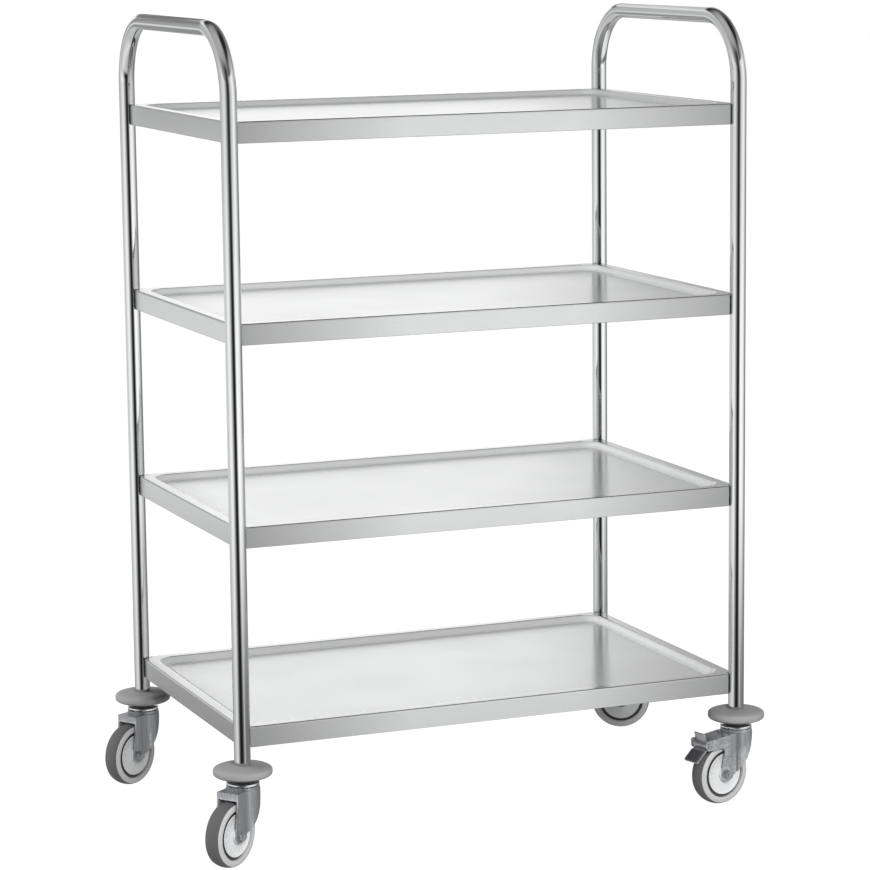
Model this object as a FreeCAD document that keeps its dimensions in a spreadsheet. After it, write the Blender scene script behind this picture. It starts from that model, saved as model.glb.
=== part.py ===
import FreeCAD, Part
import math
import os

import Sketcher
from FreeCAD import Placement, Rotation, Vector

# Serving trolley with four drawn shelves between two bent tube end frames, on four swivel castors.
# Lengths are in millimetres and angles in degrees.
# X runs along the trolley, Y across it, Z up from the floor.

doc = FreeCAD.newDocument("ServingTrolley")
dim = doc.addObject("Spreadsheet::Sheet", "Dim")

SIZES = (
    ("leg_span_x", "830", "leg axis to leg axis along the trolley, and the shelf's length"),
    ("leg_span_y", "510", "leg axis to leg axis across the trolley, and the shelf's width"),
    ("centre_shift_x", "-9", "leg rectangle's centre from the middle of the footprint, along"),
    ("centre_shift_y", "6", "leg rectangle's centre from the middle of the footprint, across"),
    ("tube_diameter", "25", "outside of the frame tube"),
    ("tube_wall", "1.5", "wall of the frame tube"),
    ("handle_rise", "133.5", "top shelf's rim to the handle bar's centre line"),
    ("handle_bend_radius", "100", "bend between leg and handle bar, at the centre line"),
    ("top_shelf_height", "1110.5", "floor to the top shelf's rim"),
    ("upper_shelf_height", "814", "floor to the upper shelf's rim"),
    ("lower_shelf_height", "510", "floor to the lower shelf's rim"),
    ("bottom_shelf_height", "206", "floor to the bottom shelf's rim"),
    ("sheet_wall", "1", "shelf sheet"),
    ("apron_height", "32", "turned-down edge of a shelf"),
    ("hem_height", "6", "folded lower edge of the apron"),
    ("edge_bend_radius", "2", "outside bend between rim and apron"),
    ("rim_width", "18", "flat rim of a shelf"),
    ("slope_width", "10", "plan width of the sloped band between rim and floor"),
    ("recess_depth", "9", "shelf floor below the rim"),
    ("recess_corner_radius", "36", "recess corner at the rim, in plan"),
    ("draw_radius", "3", "bends at the top and foot of the sloped band"),
    ("corner_gap", "1", "room between leg and notched shelf corner, which the rivet nut's flange fills"),
    ("shelf_bolt_diameter", "6", "corner bolt's thread"),
    ("shelf_bolt_reach", "7", "leg axis to the corner bolt's point"),
    ("bolt_head_flats", "10", "corner bolt head across flats"),
    ("bolt_head_height", "4", "corner bolt head"),
    ("saddle_diameter", "14", "saddle washer outside"),
    ("saddle_thickness", "2.5", "saddle washer at its middle"),
    ("rivet_nut_diameter", "9", "rivet nut's barrel"),
    ("rivet_flange_diameter", "13", "rivet nut's flange"),
    ("rivet_nut_reach", "4", "leg axis to the rivet nut's inner end"),
    ("hole_clearance", "0.25", "bolt in a drilled hole, on the radius"),
    ("fit_clearance", "0.05", "close and running fits, on the radius"),
    ("wheel_diameter", "100", "tyre at its crown"),
    ("tyre_width", "28", "tyre at its bead"),
    ("tyre_bead_diameter", "76", "tyre on the wheel centre's rim"),
    ("shoulder_diameter", "94", "tyre where the tread meets the side"),
    ("shoulder_width", "24.6", "tread from shoulder to shoulder"),
    ("disc_diameter", "66", "face of the wheel centre"),
    ("disc_width", "26.4", "wheel centre over its faces"),
    ("wheel_rim_width", "18", "wheel centre's rim under the tyre"),
    ("hub_diameter", "24", "wheel centre's hub"),
    ("hub_side_clearance", "0.5", "hub to fork plate, each side"),
    ("sleeve_diameter", "12", "axle sleeve that the wheel turns on"),
    ("axle_diameter", "8", "axle bolt"),
    ("axle_head_flats", "13", "axle bolt head and nut across flats"),
    ("axle_head_height", "5.3", "axle bolt head"),
    ("axle_nut_height", "6.5", "axle nut"),
    ("axle_end", "2", "axle bolt beyond its nut"),
    ("castor_trail", "35", "swivel axis to axle"),
    ("front_left_heading", "-144.4", "direction from swivel axis to axle as the trolley stands"),
    ("rear_left_heading", "-148.7", "direction from swivel axis to axle as the trolley stands"),
    ("front_right_heading", "-165.8", "direction from swivel axis to axle as the trolley stands"),
    ("rear_right_heading", "-22", "direction from swivel axis to axle as the trolley stands"),
    ("fork_wall", "2.5", "fork pressing"),
    ("fork_inner_width", "34", "between the fork's plates"),
    ("crown_clearance", "12", "tyre to the underside of the fork's crown"),
    ("crown_diameter", "52", "fork's crown round the swivel axis"),
    ("crown_round", "1", "rounded edge of the crown"),
    ("eye_radius", "11", "fork plate round the axle"),
    ("eye_angle", "30", "where the plate's curved rear edge meets the eye, below the level"),
    ("plate_nose", "5", "fork plate's front edge beyond the axle, under the lip"),
    ("nose_lip_depth", "11", "turned-down front lip of the crown"),
    ("crown_lip_depth", "1", "crown's turned-down rear edge, below its underside"),
    ("plate_back_reach", "18", "swivel axis back to the top of a plate's rear edge"),
    ("plate_back_radius", "116", "curved rear edge of a fork plate"),
    ("race_rim_height", "4", "rim of the fork's lower race"),
    ("race_rim_diameter", "50", "outside of that rim"),
    ("race_rim_wall", "2.5", "wall of that rim"),
    ("ball_diameter", "5", "bearing ball"),
    ("ball_ring_diameter", "35", "circle of the ball centres"),
    ("ball_count", "16", "balls in a swivel head"),
    ("bearing_gap", "0.05", "free play above and below the balls"),
    ("upper_race_diameter", "50", "upper race's flange"),
    ("upper_race_thickness", "4.5", "upper race's flange"),
    ("upper_race_height", "10.4", "upper race from the balls to the bumper"),
    ("race_neck_diameter", "30", "upper race's neck under the bumper"),
    ("stem_diameter", "12", "castor stem and king pin"),
    ("stem_head_diameter", "22", "riveted head under the fork's crown"),
    ("stem_head_height", "3", "riveted head under the fork's crown"),
    ("head_clearance", "0.3", "riveted head to the crown"),
    ("plug_clearance", "5", "leg's plug below the lowest rivet nuts"),
    ("stem_cover", "8", "leg's plug above the stem's end"),
    ("bumper_diameter", "90", "bumper disc"),
    ("bumper_thickness", "19.5", "bumper disc at its middle"),
    ("bumper_edge", "9", "upright band at the bumper's edge"),
    ("bumper_seat_diameter", "34", "flat middle of the bumper's faces"),
    ("bumper_face_radius", "90", "crown of the bumper's faces"),
    ("bumper_edge_round", "4.2", "rounded edges of the bumper's band"),
    ("bumper_socket_depth", "3", "leg's foot let into the bumper"),
    ("arm_nose", "7", "brake's pivot to the front of a braked fork's arms"),
    ("arm_slope_start", "20", "swivel axis to where the arms' upper edge falls away"),
    ("arm_top_drop", "5.5", "crown's top down to the arms' upper front corner"),
    ("arm_depth", "15", "arms at their front"),
    ("arm_corner_radius", "6", "rounded corners under the arms"),
    ("brake_pivot_reach", "71", "swivel axis to the brake's pivot"),
    ("brake_pivot_drop", "13", "crown's top down to the brake's pivot"),
    ("brake_pin_diameter", "6", "brake's pivot pin"),
    ("pin_head_diameter", "9", "brake pin's heads"),
    ("pin_head_height", "1.5", "brake pin's heads"),
    ("pedal_hub_diameter", "13", "pedal's hub on the pin"),
    ("pedal_side_clearance", "0.5", "pedal's hub to fork arm, each side"),
    ("pedal_plate", "2.5", "pedal's plates"),
    ("pedal_width", "30", "pedal's foot plate across"),
    ("pedal_reach", "34", "pivot to the foot plate's front edge"),
    ("pedal_slope", "42", "foot plate below the level, brake off"),
    ("pedal_offset", "2.85", "pivot above the middle of the foot plate"),
    ("tab_reach", "20.4", "pivot to the release tab's top"),
    ("tab_lean", "17", "release tab off the upright"),
    ("tab_width", "24", "release tab across"),
    ("cam_clearance", "0.6", "brake cam to tyre, brake on"),
    ("cam_swing", "18", "pedal's travel from off to on"),
    ("cam_width", "16", "brake cam across"),
    ("cam_thickness", "5", "brake cam"),
    ("foot_pad_thickness", "3", "dark pad on the foot plate"),
    ("foot_pad_length", "22", "dark pad on the foot plate, from its front edge"),
    ("foot_pad_inset", "0.8", "foot plate's bright edge beside the pad"),
)
for row, (alias, value, note) in enumerate(SIZES, start=1):
    dim.set(f"A{row}", note)
    dim.set(f"B{row}", value)
    dim.setAlias(f"B{row}", alias)
doc.recompute()

CORNERS = {
    "front_left": (-1, -1),
    "rear_left": (-1, 1),
    "front_right": (1, -1),
    "rear_right": (1, 1),
}
BRAKED = ("front_right", "rear_right")
SHELVES = ("top_shelf", "upper_shelf", "lower_shelf", "bottom_shelf")

# Heights in a castor, from the floor up. Each piece stands on the one below it.
AXLE_Z = "Dim.wheel_diameter / 2"
CROWN_UNDER = "(Dim.wheel_diameter + Dim.crown_clearance)"
CROWN_TOP = f"({CROWN_UNDER} + Dim.fork_wall)"
BALL_Z = f"({CROWN_TOP} + Dim.bearing_gap + Dim.ball_diameter / 2)"
RACE_UNDER = f"({CROWN_TOP} + Dim.ball_diameter + 2 * Dim.bearing_gap)"
BUMPER_UNDER = f"({RACE_UNDER} + Dim.upper_race_height)"
BUMPER_TOP = f"({BUMPER_UNDER} + Dim.bumper_thickness)"
LEG_FOOT = f"({BUMPER_TOP} - Dim.bumper_socket_depth)"
BOLT_DROP = "((Dim.sheet_wall + Dim.apron_height - Dim.hem_height) / 2)"
LOWEST_NUT = f"(Dim.bottom_shelf_height - {BOLT_DROP} - Dim.rivet_nut_diameter / 2)"
PLUG_TOP = f"({LOWEST_NUT} - Dim.plug_clearance)"
STEM_TOP = f"({PLUG_TOP} - Dim.stem_cover)"
HANDLE_Z = "(Dim.top_shelf_height + Dim.handle_rise)"

# Distances from a leg's axis along the shelf's diagonal, through a corner bolt.
NOTCH = "(Dim.tube_diameter / 2 + Dim.corner_gap)"
SADDLE_SEAT = f"({NOTCH} + Dim.sheet_wall)"
BOLT_SEAT = f"({SADDLE_SEAT} + Dim.saddle_thickness)"

# The brake's pivot, from the swivel axis and the floor, and the reach of its cam.
PIVOT_X = "Dim.brake_pivot_reach"
PIVOT_Z = f"({CROWN_TOP} - Dim.brake_pivot_drop)"
PIVOT_RUN = f"({PIVOT_X} - Dim.castor_trail)"
PIVOT_RISE = f"({PIVOT_Z} - {AXLE_Z})"
CAM_REACH = f"(sqrt({PIVOT_RUN} ^ 2 + {PIVOT_RISE} ^ 2) - Dim.wheel_diameter / 2 - Dim.cam_clearance)"
CAM_ANGLE = f"(atan({PIVOT_RISE} / {PIVOT_RUN}) / 1 deg - 180 + Dim.cam_swing)"

FORK_HALF = "(Dim.fork_inner_width / 2 + Dim.fork_wall)"
sub_parts = []


def number(expression):
    """Value of an expression on the sheet."""
    value = dim.evalExpression(expression)
    return float(getattr(value, "Value", value))


def bind(sketch, kind, where, expression):
    """Add one dimension to a sketch and tie it to the sheet."""
    index = sketch.addConstraint(Sketcher.Constraint(kind, *where, number(expression)))
    name = f"size{index}"
    sketch.renameConstraint(index, name)
    sketch.setExpression("Constraints." + name, expression)


def pin_point(sketch, point, x, y):
    """Hold a sketch point at x, y."""
    for kind, axis, expression in (("DistanceX", -2, x), ("DistanceY", -1, y)):
        if expression == "0":
            sketch.addConstraint(Sketcher.Constraint("PointOnObject", *point, axis))
        else:
            bind(sketch, kind, (-1, 1, *point), expression)


def arc_between(start, end, radius, turn):
    """Arc of under a half circle from start to end, which turns left or right."""
    side = 1 if turn == "left" else -1
    chord = end - start
    rise = math.sqrt(max(radius ** 2 - chord.Length ** 2 / 4, 0))
    centre = (start + end) * 0.5 + Vector(-chord.y, chord.x, 0).normalize() * (rise * side)
    first, last = (start, end) if side > 0 else (end, start)
    angles = [math.atan2(point.y - centre.y, point.x - centre.x) for point in (first, last)]
    if angles[1] < angles[0]:
        angles[1] += 2 * math.pi
    return Part.ArcOfCircle(Part.Circle(centre, Vector(0, 0, 1), radius), *angles)


def outline(sketch, points, arcs=None, closed=True):
    """Draw a run of lines through points. Arcs gives radius and turn for the edges that are round."""
    arcs = arcs or {}
    spots = [Vector(number(x), number(y), 0) for x, y in points]
    count = len(points)
    heads, tails = [], []
    for index in range(count if closed else count - 1):
        start, end = spots[index], spots[(index + 1) % count]
        if index in arcs:
            radius, turn = arcs[index]
            edge = sketch.addGeometry(arc_between(start, end, number(radius), turn), False)
            bind(sketch, "Radius", (edge,), radius)
        else:
            turn = "left"
            edge = sketch.addGeometry(Part.LineSegment(start, end), False)
        heads.append((edge, 1 if turn == "left" else 2))
        tails.append((edge, 2 if turn == "left" else 1))
    for index, tail in enumerate(tails):
        if closed or index + 1 < len(heads):
            sketch.addConstraint(Sketcher.Constraint("Coincident", *tail, *heads[(index + 1) % len(heads)]))
    for index, point in enumerate(heads if closed else heads + tails[-1:]):
        pin_point(sketch, point, *points[index])


def circle(sketch, x, y, radius):
    """Draw a circle about x, y."""
    centre = Vector(number(x), number(y), 0)
    edge = sketch.addGeometry(Part.Circle(centre, Vector(0, 0, 1), number(radius)), False)
    pin_point(sketch, (edge, 3), x, y)
    bind(sketch, "Radius", (edge,), radius)


def new_body(label):
    """Empty body with a label of its own."""
    body = doc.addObject("PartDesign::Body", label)
    body.Label = label
    return body


def new_sketch(body, name, role, offset=("0", "0", "0")):
    """Sketch on one of the body's own planes, moved by offset in the sketch's own directions."""
    sketch = body.newObject("Sketcher::SketchObject", name)
    plane = [feature for feature in body.Origin.OriginFeatures if feature.Role == role][0]
    sketch.AttachmentSupport = [(plane, "")]
    sketch.MapMode = "FlatFace"
    for axis, expression in zip("xyz", offset):
        if expression != "0":
            sketch.setExpression("AttachmentOffset.Base." + axis, expression)
    doc.recompute()
    return sketch


def extrude(body, kind, name, sketch, length, both_sides=False, reverse=False):
    """Pad or pocket a sketch by a length."""
    feature = body.newObject("PartDesign::" + kind, name)
    feature.Profile = sketch
    feature.SideType = "Symmetric" if both_sides else "One side"
    feature.Reversed = reverse
    feature.setExpression("Length", length)
    doc.recompute()
    return feature


def revolve(body, name, sketch, axis):
    """Turn a sketch once round one of its axes."""
    feature = body.newObject("PartDesign::Revolution", name)
    feature.Profile = sketch
    feature.ReferenceAxis = (sketch, [axis])
    doc.recompute()
    return feature


def fillet(body, name, base, edges, radius):
    """Round the named edges of a feature."""
    feature = body.newObject("PartDesign::Fillet", name)
    feature.Base = (base, edges)
    feature.setExpression("Radius", radius)
    doc.recompute()
    return feature


def level_edges(shape, height, half_x, half_y):
    """Names of the edges that lie level at a height, inside a rectangle about the Z axis."""
    names = []
    for index, edge in enumerate(shape.Edges, start=1):
        points = edge.discretize(9)
        level = all(abs(point.z - height) < 0.001 for point in points)
        if level and all(abs(point.x) < half_x and abs(point.y) < half_y for point in points):
            names.append(f"Edge{index}")
    return names


def keep(piece, label):
    """List a finished sub-part."""
    piece.Label = label
    sub_parts.append(piece)


def place_castor(piece, corner):
    """Stand a castor piece under its leg and turn it to the castor's heading."""
    side_x, side_y = CORNERS[corner]
    piece.Placement = Placement(Vector(), Rotation(Vector(0, 0, 1), 1))
    piece.setExpression("Placement.Base.x", f"{side_x} * Dim.leg_span_x / 2 + Dim.centre_shift_x")
    piece.setExpression("Placement.Base.y", f"{side_y} * Dim.leg_span_y / 2 + Dim.centre_shift_y")
    piece.setExpression("Placement.Rotation.Angle", f"Dim.{corner}_heading * 1 deg")


def at_shelf_corners(name, model, shelves, corners):
    """Copies of a model, modelled along +X from a leg's axis, at the corner bolts of the shelves."""
    copies = []
    for shelf in shelves:
        for corner in corners:
            side_x, side_y = CORNERS[corner]
            spot = Vector(
                number(f"{side_x} * Dim.leg_span_x / 2 + Dim.centre_shift_x"),
                number(f"{side_y} * Dim.leg_span_y / 2 + Dim.centre_shift_y"),
                number(f"Dim.{shelf}_height - {BOLT_DROP}"),
            )
            inward = math.degrees(math.atan2(-side_y, -side_x))
            copy = model.Shape.copy()
            copy.Placement = Placement(spot, Rotation(Vector(0, 0, 1), inward)).multiply(copy.Placement)
            copies.append(copy)
    group = doc.addObject("Part::Feature", name)
    group.Shape = Part.makeCompound(copies)
    return group


def radial_cylinder(name, radius, start, end):
    """Cylinder along +X from start to end, measured from a leg's axis."""
    cylinder = doc.addObject("Part::Cylinder", name)
    cylinder.Placement = Placement(Vector(), Rotation(Vector(0, 1, 0), 90))
    cylinder.setExpression("Radius", radius)
    cylinder.setExpression("Height", f"{end} - {start}")
    cylinder.setExpression("Placement.Base.x", start)
    doc.recompute()
    return cylinder


def upright_cylinder(name, radius, half_height):
    """Cylinder round a leg's axis, to half_height above and below a corner bolt."""
    cylinder = doc.addObject("Part::Cylinder", name)
    cylinder.setExpression("Radius", radius)
    cylinder.setExpression("Height", f"2 * {half_height}")
    cylinder.setExpression("Placement.Base.z", f"-1 * {half_height}")
    doc.recompute()
    return cylinder


def combine(kind, name, base, tool):
    """Cut, fuse or intersect two shapes."""
    result = doc.addObject("Part::" + kind, name)
    result.Base = base
    result.Tool = tool
    doc.recompute()
    return result


def end_frame(label, side, corners):
    """Bent tube with two legs and the handle bar, drilled for the rivet nuts of the shelf corners."""
    half = "Dim.leg_span_y / 2"
    bend = "Dim.handle_bend_radius"
    tube = new_body(label + "_tube")
    section = new_sketch(tube, label + "_section", "XY_Plane", ("0", "0", LEG_FOOT))
    circle(section, "0", f"-{half}", "Dim.tube_diameter / 2")
    circle(section, "0", f"-{half}", "Dim.tube_diameter / 2 - Dim.tube_wall")
    path = new_sketch(tube, label + "_path", "YZ_Plane")
    leg_top = f"{HANDLE_Z} - {bend}"
    outline(
        path,
        [
            (f"-{half}", LEG_FOOT),
            (f"-{half}", leg_top),
            (f"-{half} + {bend}", HANDLE_Z),
            (f"{half} - {bend}", HANDLE_Z),
            (half, leg_top),
            (half, LEG_FOOT),
        ],
        arcs={1: (bend, "right"), 3: (bend, "right")},
        closed=False,
    )
    bar = tube.newObject("PartDesign::AdditivePipe", label + "_bar")
    bar.Profile = section
    bar.Spine = (path, [])
    tube.setExpression("Placement.Base.x", f"{side} * Dim.leg_span_x / 2 + Dim.centre_shift_x")
    tube.setExpression("Placement.Base.y", "Dim.centre_shift_y")
    doc.recompute()
    hole = radial_cylinder(
        label + "_drill", "Dim.rivet_nut_diameter / 2 + Dim.fit_clearance", "0", "Dim.tube_diameter"
    )
    holes = at_shelf_corners(label + "_holes", hole, SHELVES, corners)
    keep(combine("Cut", label, tube, holes), label)


def shelf_outline(sketch, inset):
    """Shelf edge with a notch round each leg, drawn in by inset."""
    half_x, half_y = "Dim.leg_span_x / 2", "Dim.leg_span_y / 2"
    radius = f"({NOTCH} + {inset})"
    run = f"sqrt({radius} ^ 2 - ({inset}) ^ 2)"
    near_x, near_y = f"({half_x} - {run})", f"({half_y} - {run})"
    edge_x, edge_y = f"({half_x} - {inset})", f"({half_y} - {inset})"
    points = [
        (f"-{near_x}", f"-{edge_y}"),
        (near_x, f"-{edge_y}"),
        (edge_x, f"-{near_y}"),
        (edge_x, near_y),
        (near_x, edge_y),
        (f"-{near_x}", edge_y),
        (f"-{edge_x}", near_y),
        (f"-{edge_x}", f"-{near_y}"),
    ]
    outline(sketch, points, arcs={corner: (radius, "right") for corner in (1, 3, 5, 7)})


def recess_outline(sketch):
    """Rounded rectangle of the recess at the rim."""
    radius = "Dim.recess_corner_radius"
    half_x, half_y = "(Dim.leg_span_x / 2 - Dim.rim_width)", "(Dim.leg_span_y / 2 - Dim.rim_width)"
    near_x, near_y = f"({half_x} - {radius})", f"({half_y} - {radius})"
    points = [
        (f"-{near_x}", f"-{half_y}"),
        (near_x, f"-{half_y}"),
        (half_x, f"-{near_y}"),
        (half_x, near_y),
        (near_x, half_y),
        (f"-{near_x}", half_y),
        (f"-{half_x}", near_y),
        (f"-{half_x}", f"-{near_y}"),
    ]
    outline(sketch, points, arcs={corner: (radius, "left") for corner in (1, 3, 5, 7)})


def shelf(label):
    """Drawn tray with a sunk floor, apron and hem, pierced for its corner bolts."""
    tray = new_body(label + "_tray")
    edge = new_sketch(tray, label + "_edge", "XY_Plane")
    shelf_outline(edge, "0")
    block = extrude(tray, "Pad", label + "_block", edge, "Dim.apron_height", reverse=True)
    top_edges = level_edges(block.Shape, 0, number("Dim.leg_span_x"), number("Dim.leg_span_y"))
    fillet(tray, label + "_bend", block, top_edges, "Dim.edge_bend_radius")
    mouth = new_sketch(tray, label + "_mouth", "XY_Plane")
    recess_outline(mouth)
    recess = extrude(tray, "Pocket", label + "_recess", mouth, "Dim.recess_depth")
    recess.setExpression("TaperAngle", "-atan(Dim.slope_width / Dim.recess_depth)")
    doc.recompute()
    half_x = number("Dim.leg_span_x / 2 - Dim.rim_width") + 0.01
    half_y = number("Dim.leg_span_y / 2 - Dim.rim_width") + 0.01
    floor = -number("Dim.recess_depth")
    drawn_edges = level_edges(recess.Shape, 0, half_x, half_y)
    drawn_edges += level_edges(recess.Shape, floor, half_x, half_y)
    drawn = fillet(tray, label + "_draw", recess, drawn_edges, "Dim.draw_radius")
    wall = tray.newObject("PartDesign::Thickness", label + "_wall")
    foot = -number("Dim.apron_height")
    open_faces = [
        f"Face{index}"
        for index, face in enumerate(drawn.Shape.Faces, start=1)
        if abs(face.BoundBox.ZMax - foot) < 0.001
    ]
    wall.Base = (drawn, open_faces)
    wall.Reversed = True
    wall.setExpression("Value", "Dim.sheet_wall")
    doc.recompute()
    hem = new_sketch(tray, label + "_hem_line", "XY_Plane", ("0", "0", "-Dim.apron_height"))
    shelf_outline(hem, "Dim.sheet_wall")
    shelf_outline(hem, "2 * Dim.sheet_wall")
    extrude(tray, "Pad", label + "_hem", hem, "Dim.hem_height")
    tray.setExpression("Placement.Base.x", "Dim.centre_shift_x")
    tray.setExpression("Placement.Base.y", "Dim.centre_shift_y")
    tray.setExpression("Placement.Base.z", f"Dim.{label}_height")
    doc.recompute()
    hole = radial_cylinder(
        label + "_drill",
        "Dim.shelf_bolt_diameter / 2 + Dim.hole_clearance",
        "0",
        f"{BOLT_SEAT} + Dim.saddle_thickness",
    )
    holes = at_shelf_corners(label + "_holes", hole, (label,), CORNERS)
    keep(combine("Cut", label, tray, holes), label)


def shelf_fasteners():
    """Bolt, saddle washer and rivet nut at every shelf corner, each kind as one group."""
    reach = "Dim.saddle_diameter"
    shank = radial_cylinder(
        "bolt_shank",
        "Dim.shelf_bolt_diameter / 2",
        "Dim.shelf_bolt_reach",
        f"{BOLT_SEAT} + Dim.bolt_head_height / 2",
    )
    head = doc.addObject("Part::Prism", "bolt_head")
    head.Polygon = 6
    head.Placement = Placement(Vector(), Rotation(Vector(0, 1, 0), 90))
    head.setExpression("Circumradius", "Dim.bolt_head_flats / sqrt(3)")
    head.setExpression("Height", "Dim.bolt_head_height")
    head.setExpression("Placement.Base.x", BOLT_SEAT)
    doc.recompute()
    bolt = combine("Fuse", "bolt_model", head, shank)
    keep(at_shelf_corners("shelf_bolts", bolt, SHELVES, CORNERS), "shelf_bolts")

    disc = radial_cylinder("saddle_disc", "Dim.saddle_diameter / 2", "Dim.tube_diameter / 4", BOLT_SEAT)
    seat = upright_cylinder("saddle_seat", f"{SADDLE_SEAT} + Dim.fit_clearance", reach)
    bore_radius = "Dim.shelf_bolt_diameter / 2 + Dim.hole_clearance"
    bore = radial_cylinder("saddle_bore", bore_radius, "0", f"2 * {BOLT_SEAT}")
    washer = combine("Cut", "saddle_model", combine("Cut", "saddle_blank", disc, seat), bore)
    keep(at_shelf_corners("saddle_washers", washer, SHELVES, CORNERS), "saddle_washers")

    barrel = radial_cylinder("rivet_barrel", "Dim.rivet_nut_diameter / 2", "Dim.rivet_nut_reach", BOLT_SEAT)
    flange_radius = "Dim.rivet_flange_diameter / 2"
    thread_radius = "Dim.shelf_bolt_diameter / 2 + Dim.fit_clearance"
    flange = radial_cylinder("rivet_flange", flange_radius, "Dim.tube_diameter / 4", BOLT_SEAT)
    leg = upright_cylinder("rivet_leg", "Dim.tube_diameter / 2 + Dim.fit_clearance", reach)
    notch = upright_cylinder("rivet_notch", f"{NOTCH} - Dim.fit_clearance", reach)
    thread = radial_cylinder("rivet_thread", thread_radius, "0", BOLT_SEAT)
    blank = combine("Fuse", "rivet_blank", barrel, combine("Cut", "rivet_collar", flange, leg))
    nut = combine("Cut", "rivet_model", combine("Common", "rivet_body", blank, notch), thread)
    keep(at_shelf_corners("rivet_nuts", nut, SHELVES, CORNERS), "rivet_nuts")


def turned(label, corner, points, arcs=None):
    """Piece turned round the swivel axis, from a half section given as radius and height."""
    body = new_body(label)
    section = new_sketch(body, label + "_section", "XZ_Plane")
    outline(section, points, arcs)
    feature = revolve(body, label + "_turn", section, "V_Axis")
    place_castor(body, corner)
    keep(body, label)
    return body, feature


def bumper(corner):
    """Lens-shaped disc between leg and castor, with a socket for the leg's foot."""
    edge = "Dim.bumper_diameter / 2"
    seat = "Dim.bumper_seat_diameter / 2"
    bore = "Dim.stem_diameter / 2 + Dim.fit_clearance"
    socket = "Dim.tube_diameter / 2 + Dim.fit_clearance"
    middle = f"({BUMPER_UNDER} + Dim.bumper_thickness / 2)"
    points = [
        (bore, BUMPER_UNDER),
        (seat, BUMPER_UNDER),
        (edge, f"{middle} - Dim.bumper_edge / 2"),
        (edge, f"{middle} + Dim.bumper_edge / 2"),
        (seat, BUMPER_TOP),
        (socket, BUMPER_TOP),
        (socket, LEG_FOOT),
        (bore, LEG_FOOT),
    ]
    face = ("Dim.bumper_face_radius", "left")
    body, disc = turned(f"{corner}_bumper", corner, points, {1: face, 3: face})
    rim_edges = []
    for index, rim in enumerate(disc.Shape.Edges, start=1):
        on_rim = all(abs(math.hypot(spot.x, spot.y) - number(edge)) < 0.001 for spot in rim.discretize(9))
        if on_rim and rim.isClosed():
            rim_edges.append(f"Edge{index}")
    fillet(body, f"{corner}_bumper_round", disc, rim_edges, "Dim.bumper_edge_round")


def stem_and_races(corner):
    """Plug in the leg, stem with its riveted head, upper race and the balls below it."""
    bore = "Dim.stem_diameter / 2 + Dim.fit_clearance"
    plug = "Dim.tube_diameter / 2 - Dim.tube_wall - Dim.fit_clearance"
    plug_section = [(bore, LEG_FOOT), (plug, LEG_FOOT), (plug, PLUG_TOP), (bore, PLUG_TOP)]
    turned(f"{corner}_leg_plug", corner, plug_section)

    shank, head = "Dim.stem_diameter / 2", "Dim.stem_head_diameter / 2"
    head_top = f"({CROWN_UNDER} - Dim.head_clearance)"
    head_foot = f"({head_top} - Dim.stem_head_height)"
    turned(
        f"{corner}_stem",
        corner,
        [
            ("0", head_foot),
            (head, head_foot),
            (head, head_top),
            (shank, head_top),
            (shank, STEM_TOP),
            ("0", STEM_TOP),
        ],
    )

    flange, neck = "Dim.upper_race_diameter / 2", "Dim.race_neck_diameter / 2"
    flange_top = f"({RACE_UNDER} + Dim.upper_race_thickness)"
    turned(
        f"{corner}_top_race",
        corner,
        [
            (bore, RACE_UNDER),
            (flange, RACE_UNDER),
            (flange, flange_top),
            (neck, flange_top),
            (neck, BUMPER_UNDER),
            (bore, BUMPER_UNDER),
        ],
    )

    balls = new_body(f"{corner}_bearing_balls")
    section = new_sketch(
        balls, f"{corner}_ball_section", "XZ_Plane", ("Dim.ball_ring_diameter / 2", BALL_Z, "0")
    )
    radius = "Dim.ball_diameter / 2"
    quarter = (radius, "left")
    outline(section, [("0", f"-{radius}"), (radius, "0"), ("0", radius)], {0: quarter, 1: quarter})
    ball = revolve(balls, f"{corner}_ball", section, "V_Axis")
    ring = balls.newObject("PartDesign::PolarPattern", f"{corner}_ball_ring")
    ring.Originals = [ball]
    axis = [feature for feature in balls.Origin.OriginFeatures if feature.Role == "Z_Axis"][0]
    ring.Axis = (axis, [""])
    ring.Angle = 360
    ring.setExpression("Occurrences", "Dim.ball_count")
    balls.Tip = ring
    place_castor(balls, corner)
    doc.recompute()
    keep(balls, f"{corner}_bearing_balls")


def hexagon(sketch, x, y, flats):
    """Regular hexagon about x, y with two flats level."""
    points = []
    for step in range(6):
        angle = 60 * step
        points.append((f"{x} + {flats} / sqrt(3) * cos({angle})", f"{y} + {flats} / sqrt(3) * sin({angle})"))
    outline(sketch, points)


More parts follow.
